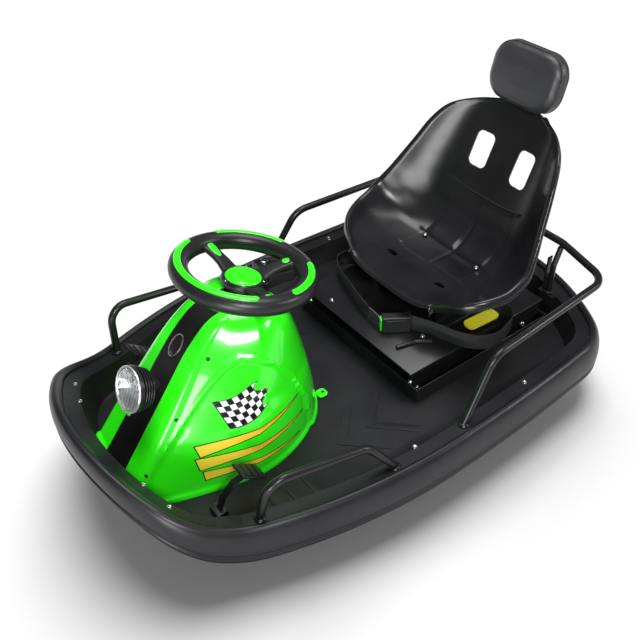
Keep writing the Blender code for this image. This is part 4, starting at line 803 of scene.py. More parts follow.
class Bench:
    """Turns shapes into finished pieces that ride on the frame."""

    def __init__(self, frame: dict) -> None:
        """Keeps the frame's solids.
        """
        self.nodes = frame["nodes"]
        self.repeater = Repeater()
        self.materials = {}
        self.replaced = set()

    def material(self, surface: Surface) -> bpy.types.Material:
        """The material of a finish, built once."""
        if surface not in self.materials:
            self.materials[surface] = surface.value.make()
        return self.materials[surface]

    def make(
        self,
        name: str,
        shape: bmesh.types.BMesh,
        surface: Surface,
        body: str = "chassis",
        replaces: tuple[str, ...] = (),
        angle: float = SMOOTH_DEGREES,
        bevel: float = 0.0,
        wall: float = 0.0,
    ) -> bpy.types.Object:
        """Makes a piece of a shape.

        Args:
            name: The piece's name.
            shape: Its shape, which is used up.
            surface: Its finish.
            body: The body that it rides on.
            replaces: The solids that it stands for.
            angle: The angle in degrees over which an edge stays sharp.
            bevel: The width by which its edges are rounded.
            wall: The thickness that an open sheet gets, inwards.

        Returns:
            The piece.
        """
        bmesh.ops.recalc_face_normals(shape, faces=shape.faces)
        mesh = meshed(shape, name)
        shaded(mesh, angle)
        mesh.materials.append(self.material(surface))
        piece = linked(name, mesh)
        if wall:
            solid = piece.modifiers.new("Wall", "SOLIDIFY")
            solid.thickness = wall
            solid.offset = -1.0
        if bevel:
            edged(piece, bevel)
        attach(piece, body)
        if replaces:
            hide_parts(*replaces)
            self.replaced.update(replaces)
        LOG.info("%s: %d faces on %s", name, len(mesh.polygons), body)
        return piece

    def stand(
        self,
        name: str,
        places: list[tuple[Point, Point]],
        item: bmesh.types.BMesh,
        size: float,
        surface: Surface,
        body: str = "chassis",
    ) -> None:
        """Makes a piece of one small item on each of several places.

        Args:
            name: The piece's name.
            places: Points with the directions that the item faces.
            item: The item's shape, made about Z, which is used up.
            size: How much the item is scaled.
            surface: The finish.
            body: The body that the piece rides on.
        """
        shape = self.repeater.stand(places, item, size, self.material(surface))
        self.make(name, shape, surface, body)

    def pair(
        self, name: str, shape: bmesh.types.BMesh, surface: Surface, replaces: str = "", **ways: object
    ) -> None:
        """Makes a piece on the driver's left and its mirror image.

        Args:
            name: The pieces' shared name.
            shape: The left one's shape.
            surface: Their finish.
            replaces: The shared name of the solids that they stand for.
            ways: More arguments of make.
        """
        twin = flipped(shape)
        for side, half in (("left", shape), ("right", twin)):
            nodes = (f"{replaces}_{side}",) if replaces else ()
            self.make(f"{name}_{side}", half, surface, replaces=nodes, **ways)

    def refined(self, node: str, surface: Surface, bevel: float, angle: float = EDGE_DEGREES) -> None:
        """Makes a piece of a solid's own mesh with its edges rounded.

        Args:
            node: The solid.
            surface: Its finish.
            bevel: The width by which its edges are rounded.
            angle: The angle in degrees over which an edge stays sharp.
        """
        shape = bmesh.new()
        shape.from_mesh(self.nodes[node].data)
        bmesh.ops.remove_doubles(shape, verts=shape.verts, dist=WELD)
        bmesh.ops.dissolve_limit(shape, angle_limit=math.radians(0.6), verts=shape.verts, edges=shape.edges)
        body = self.nodes[node]["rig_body"]
        self.make(f"{node}_finished", shape, surface, body, (node,), angle, bevel)

    def dress(self, surfaces: dict[str, Surface]) -> None:
        """Gives the solids that still show their finish.

        Args:
            surfaces: The finish of each solid by its record slot.
        """
        for name, node in sorted(self.nodes.items()):
            if name in self.replaced:
                continue
            slot = node.data.materials[0].name.split(".")[0]
            node.data.materials.clear()
            node.data.materials.append(self.material(surfaces[slot]))
            LOG.info("%s: dressed as %s", name, slot)


class Repeater:
    """A Geometry Nodes tree that stands one small item on each of a mesh's points."""

    def __init__(self) -> None:
        """Builds the tree with its named inputs."""
        tree = bpy.data.node_groups.new("Repeat", "GeometryNodeTree")
        face = tree.interface
        face.new_socket("Geometry", in_out="INPUT", socket_type="NodeSocketGeometry")
        face.new_socket("Item", in_out="INPUT", socket_type="NodeSocketObject")
        face.new_socket("Size", in_out="INPUT", socket_type="NodeSocketFloat")
        face.new_socket("Finish", in_out="INPUT", socket_type="NodeSocketMaterial")
        face.new_socket("Geometry", in_out="OUTPUT", socket_type="NodeSocketGeometry")
        add = tree.nodes.new
        start = add("NodeGroupInput")
        item = add("GeometryNodeObjectInfo")
        out = add("GeometryNodeInputNamedAttribute")
        out.data_type = "FLOAT_VECTOR"
        out.inputs["Name"].default_value = "facing"
        turn = add("FunctionNodeAlignRotationToVector")
        turn.axis = "Z"
        stand = add("GeometryNodeInstanceOnPoints")
        real = add("GeometryNodeRealizeInstances")
        coat = add("GeometryNodeSetMaterial")
        end = add("NodeGroupOutput")
        link = tree.links.new
        link(start.outputs["Geometry"], stand.inputs["Points"])
        link(start.outputs["Item"], item.inputs["Object"])
        link(start.outputs["Size"], stand.inputs["Scale"])
        link(item.outputs["Geometry"], stand.inputs["Instance"])
        link(out.outputs["Attribute"], turn.inputs["Vector"])
        link(turn.outputs["Rotation"], stand.inputs["Rotation"])
        link(stand.outputs["Instances"], real.inputs["Geometry"])
        link(real.outputs["Geometry"], coat.inputs["Geometry"])
        link(start.outputs["Finish"], coat.inputs["Material"])
        link(coat.outputs["Geometry"], end.inputs["Geometry"])
        self.tree = tree
        self.keys = {
            socket.name: socket.identifier for socket in face.items_tree if socket.in_out == "INPUT"
        }

    def stand(
        self,
        places: list[tuple[Point, Point]],
        item: bmesh.types.BMesh,
        size: float,
        material: bpy.types.Material,
    ) -> bmesh.types.BMesh:
        """Stands an item on each place.

        Args:
            places: Points with the directions that the item faces.
            item: The item's shape, made about Z, which is used up.
            size: How much the item is scaled.
            material: Its finish.

        Returns:
            The shape of all of them.
        """
        bmesh.ops.recalc_face_normals(item, faces=item.faces)
        item_mesh = meshed(item, "item")
        shaded(item_mesh, SMOOTH_DEGREES)
        model = linked("item", item_mesh)
        mesh = bpy.data.meshes.new("places")
        mesh.from_pydata([place for place, _ in places], [], [])
        out = mesh.attributes.new("facing", "FLOAT_VECTOR", "POINT")
        out.data.foreach_set("vector", [part for _, way in places for part in Vector(way).normalized()])
        holder = linked("places", mesh)
        nodes = holder.modifiers.new("Repeat", "NODES")
        nodes.node_group = self.tree
        nodes[self.keys["Item"]] = model
        nodes[self.keys["Size"]] = size
        nodes[self.keys["Finish"]] = material
        made = settled(holder)
        shape = bmesh.new()
        shape.from_mesh(made)
        for thing in (model, holder):
            bpy.data.objects.remove(thing, do_unlink=True)
        bpy.data.meshes.remove(made)
        return shape


def bolt_item() -> bmesh.types.BMesh:
    """A domed bolt head with a socket, one unit across."""
    profile = [(0.0, 0.16), (0.16, 0.16), (0.2, 0.3), (0.34, 0.24), (0.46, 0.12), (0.5, -0.04), (0.0, -0.04)]
    return turned(profile, Matrix.Identity(4), 20)


def screw_item() -> bmesh.types.BMesh:
    """A flat screw in a dished hole, one unit across."""
    profile = [(0.0, 0.05), (0.12, 0.06), (0.3, 0.12), (0.36, 0.04), (0.46, 0.1), (0.5, -0.02), (0.0, -0.02)]
    return turned(profile, Matrix.Identity(4), 18)


@dataclass(frozen=True)
class BodyPlan:
    """The kart's outline from above, as tangent arcs, and its climb to the nose."""

    half_width: float = 0.367
    nose_y: float = -0.578
    tail_y: float = 0.578
    widest_y: float = 0.010
    nose_radius: float = 0.455
    front_corner: float = 0.154
    front_flank: float = 1.2
    rear_flank: float = 4.25
    rear_corner: float = 0.137
    tail_radius: float = 0.547
    rise: float = 0.130
    rise_start: float = -0.366

    def crossing(self, a: Vector, reach_a: float, b: Vector, reach_b: float, toward: int) -> Vector:
        """Where two circles cross.

        Args:
            a: The first circle's centre.
            reach_a: Its radius.
            b: The second circle's centre.
            reach_b: Its radius.
            toward: -1 for the crossing at the nose, +1 for the one at the tail.

        Returns:
            The crossing.
        """
        gap = b - a
        along = (reach_a**2 - reach_b**2 + gap.length**2) / (2 * gap.length)
        off = math.sqrt(reach_a**2 - along**2)
        unit = gap.normalized()
        foot = a + unit * along
        side = Vector((-unit.y, unit.x)) * off
        return max((foot + side, foot - side), key=lambda place: place.y * toward)

    def arcs(self) -> list[tuple[Vector, float, float, float, int]]:
        """The left half's arcs: centre, radius, first and last angle from the nose, steps."""
        nose = Vector((0.0, self.nose_y + self.nose_radius))
        tail = Vector((0.0, self.tail_y - self.tail_radius))
        front = Vector((self.half_width - self.front_flank, self.widest_y))
        rear = Vector((self.half_width - self.rear_flank, self.widest_y))
        corner_a = self.crossing(
            nose, self.nose_radius - self.front_corner, front, self.front_flank - self.front_corner, -1
        )
        corner_b = self.crossing(
            tail, self.tail_radius - self.rear_corner, rear, self.rear_flank - self.rear_corner, 1
        )

        def bearing(centre: Vector, other: Vector) -> float:
            """The angle of a direction from the nose."""
            return math.atan2(other.x - centre.x, centre.y - other.y)

        joined = ((nose, corner_a), (front, corner_a), (rear, corner_b), (tail, corner_b))
        ends = [bearing(centre, corner) for centre, corner in joined]
        return [
            (nose, self.nose_radius, 0.0, ends[0], 6),
            (corner_a, self.front_corner, ends[0], ends[1], 8),
            (front, self.front_flank, ends[1], math.pi / 2, 8),
            (rear, self.rear_flank, math.pi / 2, ends[2], 4),
            (corner_b, self.rear_corner, ends[2], ends[3], 6),
            (tail, self.tail_radius, ends[3], math.pi, 6),
        ]

    def climb(self, forward: float) -> float:
        """How far the ledge has climbed at one place along the kart."""
        share = max(0.0, (self.rise_start - forward) / (self.rise_start - self.nose_y))
        return self.rise * share**2

    def outline(self, inset: float, height: float, fineness: int = 3) -> list[Vector]:
        """The outline moved inwards, which climbs to the nose.

        Args:
            inset: How far inwards.
            height: Its height where it doesn't climb.
            fineness: How many times finer than the solids it is.

        Returns:
            Its points, from the nose round by the driver's left.
        """
        half = []
        for centre, radius, start, end, steps in self.arcs():
            for step in range(steps * fineness):
                angle = start + (end - start) * step / (steps * fineness)
                reach = radius - inset
                half.append((centre.x + reach * math.sin(angle), centre.y - reach * math.cos(angle)))
        half.append((0.0, self.tail_y - inset))
        points = half + [(-across, forward) for across, forward in reversed(half[1:-1])]
        return [Vector((across, forward, height + self.climb(forward))) for across, forward in points]

    def inset_at(self, across: float, forward: float) -> float:
        """How far inside the outline a point lies.

        Args:
            across: The point's place across.
            forward: Its place along the kart.

        Returns:
            The distance to the outline.
        """
        place = Vector((abs(across), forward))
        for centre, radius, start, end, _ in self.arcs():
            away = place - centre
            angle = math.atan2(away.x, -away.y)
            if start - 1e-6 <= angle <= end + 1e-6:
                return radius - away.length
        return self.half_width


@dataclass
class Hull:
    """The soft bumper and the floor tray inside it."""

    plan: BodyPlan
    under: float = 0.066
    height: float = 0.085
    width: float = 0.026
    ledge: float = 0.1425
    floor: float = 0.095
    ledge_width: float = 0.028
    slope: float = 0.016
    belly: float = 0.42
    crest: float = 0.76
    screw_lift: float = 0.0004
    screw_run: float = 0.15
    # Places across and along the kart
    screws = ((0.1245, -0.5053), (0.1834, -0.4908), (0.3093, -0.0536), (0.318, 0.23), (0.22, 0.507))
    hooks = ((0.254, 0.004), (0.258, 0.007))

    def section(self) -> list[tuple[float, float]]:
        """The bumper's section as shares of its width from outside and of its height."""
        corners = []
        for step in range(9):
            angle = math.pi / 2 * step / 8
            rise = 1.0 - self.belly
            corners.append((self.crest * (1.0 - math.cos(angle)), self.belly + rise * math.sin(angle)))
        corners += [
            (0.90, 0.975), (1.0, 0.91), (1.0, 0.42), (0.92, 0.16), (0.72, 0.02), (0.48, 0.0), (0.24, 0.03),
            (0.09, 0.11), (0.03, 0.19), (0.13, 0.255), (0.03, 0.33),
        ]
        return [(min(1.0, max(0.0, x)), min(1.0, max(0.0, y))) for x, y in ringed(corners, 3)]

    def wall_inset(self, forward: float, height: float) -> float:
        """How far inside the outline the tray's wall stands at one height."""
        top = self.ledge + self.plan.climb(forward)
        share = min(1.0, max(0.0, (height - self.floor) / (top - self.floor)))
        return self.width + self.ledge_width + self.slope * (1.0 - share)

    def build(self, bench: Bench) -> None:
        """Builds the bumper, the tray and what is fastened to them.

        Args:
            bench: The bench.
        """
        rings = [
            self.plan.outline(x * self.width, self.under + y * self.height) for x, y in self.section()
        ]
        roll = loft(rings, closed=True)
        bench.make("bumper_roll", roll, Surface.BUMPER, replaces=("bumper_ring",), angle=60.0)
        bench.refined("floor_tray", Surface.TRAY, 0.0012, 24.0)
        self.fasten(bench)

    def fasten(self, bench: Bench) -> None:
        """Adds the ledge's screws and the hooks at the ends of the floor's ribs.

        Args:
            bench: The bench.
        """
        places = []
        for across, forward in self.screws:
            climb = self.plan.climb(forward)
            for side in (-1, 1):
                place = (side * across, forward, self.ledge + climb + self.screw_lift)
                places.append((place, (0.0, 2 * climb / self.screw_run, 1.0)))
        bench.stand("ledge_screws", places, screw_item(), 0.010, Surface.STEEL)
        hook = slab(rounded(0.006, 0.005, 0.0024, 3), 0.0016, Matrix.Translation((0, 0, 0.0008)))
        spots = [
            ((side * across, -0.314 + 0.038 * row + shift, self.floor), (0, 0, 1))
            for side in (-1, 1)
            for row in range(3)
            for across, shift in self.hooks
        ]
        bench.stand("rib_hooks", spots, hook, 1.0, Surface.TRAY)


@dataclass
class Cowl:
    """The two gloss shells, the strip between them and its badge."""

    hull: Hull
    front_y: float = -0.544
    rear_y: float = -0.089
    top: float = 0.393
    foot_half: float = 0.035
    top_half: float = 0.026
    wall: float = 0.0035
    lip: float = 0.004
    lip_height: float = 0.009
    sink: float = 0.0050
    ridge: float = 0.0014
    rows: int = 84
    badge_height: float = 0.341

    # Columns: height, front at the strip behind the foot, half width of the nose, greatest
    # half width, how far behind the foot that lies, rear at the strip ahead of the rear
    shape = np.array(
        (
            (0.0947, 0.000, 0.088, 0.153, 0.255, 0.000),
            (0.150, 0.043, 0.084, 0.153, 0.255, 0.004),
            (0.200, 0.082, 0.080, 0.149, 0.260, 0.012),
            (0.250, 0.122, 0.075, 0.140, 0.270, 0.022),
            (0.300, 0.161, 0.068, 0.125, 0.285, 0.034),
            (0.340, 0.193, 0.061, 0.108, 0.300, 0.048),
            (0.370, 0.224, 0.055, 0.090, 0.310, 0.065),
            (0.384, 0.243, 0.051, 0.075, 0.315, 0.076),
            (0.391, 0.260, 0.047, 0.062, 0.319, 0.086),
            (0.393, 0.273, 0.043, 0.052, 0.323, 0.094),
        )
    )
    # The moulded arch over the side panel. Columns: along the kart, height
    arch = np.array(
        (
            (-0.520, 0.094), (-0.478, 0.156), (-0.445, 0.193), (-0.406, 0.233), (-0.360, 0.279),
            (-0.335, 0.301), (-0.307, 0.322), (-0.280, 0.334), (-0.258, 0.330), (-0.225, 0.310),
            (-0.190, 0.265), (-0.160, 0.190), (-0.145, 0.094),
        )
    )

    def level(self, height: float) -> list[float]:
        """The shape's columns at one height."""
        at = np.array((height,))
        return [float(hermite(self.shape[:, 0], self.shape[:, column], at)[0]) for column in range(1, 6)]

    def half_strip(self, height: float) -> float:
        """Half the strip's width, which narrows to the top."""
        share = (height - self.hull.floor) / (self.top - self.hull.floor)
        return self.foot_half + (self.top_half - self.foot_half) * share

    def section(self, height: float) -> list[Vector]:
        """Half of one level section, from the strip at the nose round to the strip at the rear.

        Args:
            height: The section's height.

        Returns:
            Its points.
        """
        front, nose, widest, back, rear = self.level(height)
        front, back, rear = self.front_y + front, self.front_y + back, self.rear_y - rear
        seam = self.half_strip(height) + SEAM_GAP
        corner = min(0.018, (nose - seam) * 0.8)
        bulge = 0.005 * (1.0 - eased(height, 0.215, 0.255))
        points = [(seam, front + 0.004), (seam, front)]
        for step in range(1, 4):
            points.append((seam + (nose - corner - seam) * step / 4, front))
        for step in range(7):
            angle = math.pi / 2 * step / 6
            across = nose - corner + corner * math.sin(angle)
            points.append((across, front + corner - corner * math.cos(angle)))
        start, end = Vector(points[-1]), Vector((widest + bulge, back))
        guide = Vector((widest - 0.012 + bulge, back - 0.36 * (back - start.y)))
        for step in range(1, 43):
            share = step / 42
            place = start * (1 - share) ** 2 + guide * (2 * share * (1 - share)) + end * share**2
            points.append(tuple(place))
        last = math.acos((seam + 0.006) / end.x)
        for step in range(1, 37):
            angle = last * step / 36
            rise = math.sin(angle) / math.sin(last)
            points.append((end.x * math.cos(angle), back + (rear - back) * rise))
        points.append((seam, rear))
        return [Vector((across, forward, height)) for across, forward in points]

    def shell(self) -> bmesh.types.BMesh:
        """The left shell with its foot on the tray, its raised lip and its sunk side panel."""
        heights = np.linspace(float(self.shape[0, 0]), self.top, 120)
        table = np.array([[tuple(point) for point in self.section(float(height))] for height in heights])
        columns = table.shape[1]
        feet = []
        for column in range(columns):
            foot = float(heights[0])
            for height, point in zip(heights, table[:, column]):
                inset = self.hull.plan.inset_at(point[0], point[1])
                if inset < self.hull.wall_inset(point[1], float(height)) + TRAY_GAP:
                    foot = float(height)
            feet.append(foot)
        lines = []
        for row in range(self.rows + 1):
            share = row / self.rows
            line = []
            for column, foot in enumerate(feet):
                height = foot + (self.top - foot) * share
                place = [float(np.interp(height, heights, table[:, column, axis])) for axis in range(3)]
                line.append(Vector(place))
            lines.append(line)
        for line, way in zip(lines, outward(lines)):
            for column, point in enumerate(line):
                above = point.z - feet[column]
                out = self.lip * (1.0 - eased(above, self.lip_height, self.lip_height + 0.004))
                arch = float(np.interp(point.y, self.arch[:, 0], self.arch[:, 1], 0.0, 0.0))
                side = eased(point.x, 0.06, 0.085)
                out -= self.sink * eased(arch - point.z, 0.0, 0.0050) * side
                out += self.ridge * (1.0 - eased(abs(arch - point.z + 0.003), 0.0, 0.006)) * side
                if column > 1:
                    line[column] = point + way[column] * out
        seam = self.half_strip(self.top) + SEAM_GAP
        last = lines[-1]
        for share in (0.25, 0.6, 1.0):
            lines.append([Vector((p.x + (seam - p.x) * share, p.y, p.z)) for p in last])
        shape = grid(lines)
        bmesh.ops.remove_doubles(shape, verts=shape.verts, dist=4 * WELD)
        bmesh.ops.dissolve_degenerate(shape, edges=shape.edges, dist=4 * WELD)
        return shape

    def band(self) -> bmesh.types.BMesh:
        """The strip over the nose, the top and the rear."""
        heights = [float(height) for height in np.linspace(float(self.shape[0, 0]), self.top, 60)]
        front = [(self.front_y + self.level(height)[0], height) for height in heights]
        rear = [(self.rear_y - self.level(height)[4], height) for height in reversed(heights)]
        lines = []
        for forward, height in front + rear:
            inset = self.hull.plan.inset_at(0.0, forward)
            if inset < self.hull.wall_inset(forward, height) + TRAY_GAP:
                continue
            half = self.half_strip(height)
            shares = (-1.0, -0.96, -0.5, 0.0, 0.5, 0.96, 1.0)
            lines.append([Vector((half * share, forward, height)) for share in shares])
        return grid(lines)

    def build(self, bench: Bench) -> None:
        """Builds the shells, the strip, the badge and the screws.

        Args:
            bench: The bench.
        """
        ways = {"wall": self.wall, "angle": 50.0}
        bench.pair("cowl_shell", self.shell(), Surface.COWL, "cowl", **ways)
        bench.make("cowl_band", self.band(), Surface.STRIP, replaces=("cowl_strip",), **ways)
        self.badge(bench)
        place = Matrix.Translation((0.058, self.rear_y + 0.010, 0.0985))
        tab = slab(rounded(0.022, 0.022, 0.008, 4), 0.005, place)
        bench.pair("cowl_tab", tab, Surface.GREEN, bevel=0.0012)
        spots = [
            ((0.058, self.rear_y + 0.013, 0.1010), (0.0, 0.0, 1.0)),
            ((0.0652, -0.3249, 0.3409), (0.69, -0.42, 0.59)),
            ((0.0744, -0.4063, 0.2499), (0.92, -0.25, 0.29)),
            ((0.0804, -0.4828, 0.1621), (0.6, -0.6, 0.52)),
        ]
        spots += [((-x, y, z), (-a, b, c)) for (x, y, z), (a, b, c) in spots]
        bench.stand("cowl_screws", spots, screw_item(), 0.0075, Surface.STEEL_BLACK)

    def badge(self, bench: Bench) -> None:
        """A plain dark oval with a bright ring on the strip."""
        height = self.badge_height
        forward = self.front_y + self.level(height)[0]
        slope = (self.level(height + 0.01)[0] - self.level(height - 0.01)[0]) / 0.02
        frame = facing((0.0, forward, height), (0.0, -1.0, slope))
        oval = circle(1.0, 48)
        rows = ((1.0, -0.001), (1.0, 0.0006), (0.96, 0.0012), (0.5, 0.0018), (0.2, 0.0020))
        rings = [[frame @ Vector((0.0128 * x * k, 0.0205 * y * k, z)) for x, y in oval] for k, z in rows]
        bench.make("badge_oval", loft(rings), Surface.SEAT)
        path = [frame @ Vector((0.0136 * x, 0.0215 * y, 0.0008)) for x, y in oval]
        ways = [(point - frame.translation).normalized() for point in path]
        bead = hoop(path, ways, frame.col[2].to_3d().normalized(), 0.0011)
        bench.make("badge_ring", bead, Surface.STEEL)


@dataclass
class SteeringWheel:
    """The grip ring, its spokes and hub, and its green inlays."""

    centre: Point = (0.0, -0.2002, 0.4325)
    rake: float = math.radians(12.9)
    radius: float = 0.1155
    grip: float = 0.0175
    drop: float = 0.0111
    hub: float = 0.040
    hub_height: float = 0.0145
    cap: float = 0.033
    spokes: tuple[float, ...] = (-6.0, 90.0, 186.0)
    bolts: tuple[float, ...] = (42.0, 138.0, 270.0)

    def frame(self) -> Matrix:
        """A matrix at the wheel's centre with Z up the column."""
        return Matrix.Translation(self.centre) @ Matrix.Rotation(-self.rake, 4, "X")

    def spoke(self, angle: float) -> bmesh.types.BMesh:
        """One arm from the dished hub up to the ring.

        Args:
            angle: Its angle about the column in degrees.

        Returns:
            The shape.
        """
        # Columns: distance from the axis, drop below the ring's plane, width, thickness
        stations = (
            (self.hub * 0.60, self.drop + self.hub_height * 0.5, 0.036, 0.0110),
            (self.hub * 0.95, self.drop + self.hub_height * 0.40, 0.033, 0.0105),
            (self.radius * 0.50, self.drop * 0.85, 0.027, 0.0100),
            (self.radius * 0.66, self.drop * 0.55, 0.025, 0.0100),
            (self.radius * 0.80, self.drop * 0.25, 0.028, 0.0110),
            (self.radius * 0.90, self.drop * 0.05, 0.036, 0.0130),
            (self.radius * 0.98, 0.0, 0.048, 0.0150),
        )
        turn = spun(self.frame(), math.radians(angle))
        rings = []
        for distance, drop, width, thick in stations:
            outline = rounded(width, thick, thick * 0.46, 4)
            rings.append([turn @ Vector((distance, across, up - drop)) for across, up in outline])
        return loft(rings)

    def drop_inlay(self, angle: float, first: float, last: float, half: float) -> bmesh.types.BMesh:
        """A raised oval that follows the top of a spoke.

        Args:
            angle: The spoke's angle about the column in degrees.
            first: Its inner end's distance from the axis.
            last: Its outer end's distance.
            half: Half of its greatest width.

        Returns:
            The shape.
        """
        turn = spun(self.frame(), math.radians(angle))
        # Columns: distance from the axis, the spoke's top over the ring's plane
        table = (
            (0.040, -0.0054), (0.0577, -0.0044), (0.0762, -0.0011), (0.0924, 0.0027), (0.1040, 0.0060),
            (0.115, 0.0090),
        )
        distances, tops = zip(*table)
        crown = ((-1.0, 0.0010), (-0.7, 0.0020), (0.0, 0.0024), (0.7, 0.0020), (1.0, 0.0010))
        rows = ((-1.0, -0.004), *crown, (1.0, -0.004))
        rings = []
        for step in range(15):
            share = (1.0 - math.cos(math.pi * (step + 0.15) / 14.3)) / 2
            distance = first + (last - first) * share
            width = half * (4.0 * share * (1.0 - share)) ** 0.5 + 0.0002
            top = float(np.interp(distance, distances, tops))
            rings.append([turn @ Vector((distance, width * side, top + rise)) for side, rise in rows])
        return loft(rings)

    def arc(self, first: float, last: float, middle: float, half: float, lift: float) -> bmesh.types.BMesh:
        """A raised inlay with round ends along the ring.

        Args:
            first: Its first angle about the column in degrees.
            last: Its last angle.
            middle: Where it lies on the ring's section, in degrees from outside.
            half: Half of its width, in degrees of the section.
            lift: How far it stands proud.

        Returns:
            The shape.
        """
        rings = []
        steps = int((last - first) / 2)
        ends = math.degrees(self.grip * math.radians(half) / self.radius)
        for step in range(steps + 1):
            angle = first + (last - first) * step / steps
            edge = min(angle - first, last - angle)
            share = math.sqrt(max(0.0, 1.0 - (1.0 - min(1.0, edge / ends)) ** 2)) * 0.97 + 0.03
            ring = []
            for side, rise in ((-1, -0.3), (-1, 0.5), (-0.8, 0.9), (0, 1.0), (0.8, 0.9), (1, 0.5), (1, -0.3)):
                way = math.radians(middle + side * half * share)
                reach = self.grip + lift * rise
                ring.append(Vector((self.radius + reach * math.cos(way), 0.0, reach * math.sin(way))))
            turn = spun(self.frame(), math.radians(angle))
            rings.append([turn @ point for point in ring])
        return loft(rings)

    def build(self, bench: Bench) -> None:
        """Builds the wheel and what turns with it.

        Args:
            bench: The bench.
        """
        frame = self.frame()
        section = circle(self.grip, 20)
        rings = []
        for step in range(96):
            turn = spun(frame, math.tau * step / 96)
            rings.append([turn @ Vector((self.radius + across, 0.0, up)) for across, up in section])
        bench.make("wheel_ring", loft(rings, closed=True), Surface.GRIP, "steering", ("steering_rim",), 60.0)
        arms = merged([self.spoke(angle) for angle in self.spokes])
        bench.make("wheel_spokes", arms, Surface.GRIP, "steering", angle=40.0)
        low, high = -self.drop - self.hub_height, -self.drop
        profile = [
            (0.0, high), (self.cap + 0.0005, high), (self.cap + 0.002, high + 0.0014),
            (self.hub - 0.002, high + 0.0008), (self.hub, high - 0.003), (self.hub, low + 0.002),
            (self.hub - 0.002, low), (0.0, low),
        ]
        bench.make("wheel_hub", turned(profile, frame, 56), Surface.GRIP, "steering", angle=50.0)
        base = high + 0.0003
        profile = [
            (0.0, base + 0.0060), (self.cap * 0.35, base + 0.0058), (self.cap * 0.65, base + 0.0051),
            (self.cap * 0.88, base + 0.0036), (self.cap * 0.97, base + 0.0020), (self.cap, base), (0.0, base),
        ]
        bench.make("wheel_cap", turned(profile, frame, 56), Surface.GREEN, "steering", ("hub_cap",), 50.0)
        for name, first, last in (("front", 205, 338), ("left", 9, 69), ("right", 109, 175)):
            shape = self.arc(first, last, 80.0, 20.0, 0.0022)
            bench.make(f"ring_inlay_{name}", shape, Surface.GREEN, "steering", (f"rim_inlay_{name}",), 50.0)
        # Columns: angle, inner end, outer end, half width
        table = (
            (186.0, 0.066, 0.1115, 0.0068),
            (90.0, 0.0835, 0.0975, 0.0062),
            (-6.0, 0.0845, 0.1005, 0.0066),
        )
        drops = [self.drop_inlay(*row) for row in table]
        bench.make("spoke_inlays", merged(drops), Surface.GREEN, "steering", angle=50.0)
        up = frame.col[2].to_3d()
        spots = []
        for angle in self.bolts:
            place = spun(frame, math.radians(angle)) @ Vector((self.hub * 0.93, 0.0, high - 0.0004))
            spots.append((tuple(place), tuple(up)))
        bench.stand("hub_bolts", spots, bolt_item(), 0.006, Surface.STEEL, "steering")


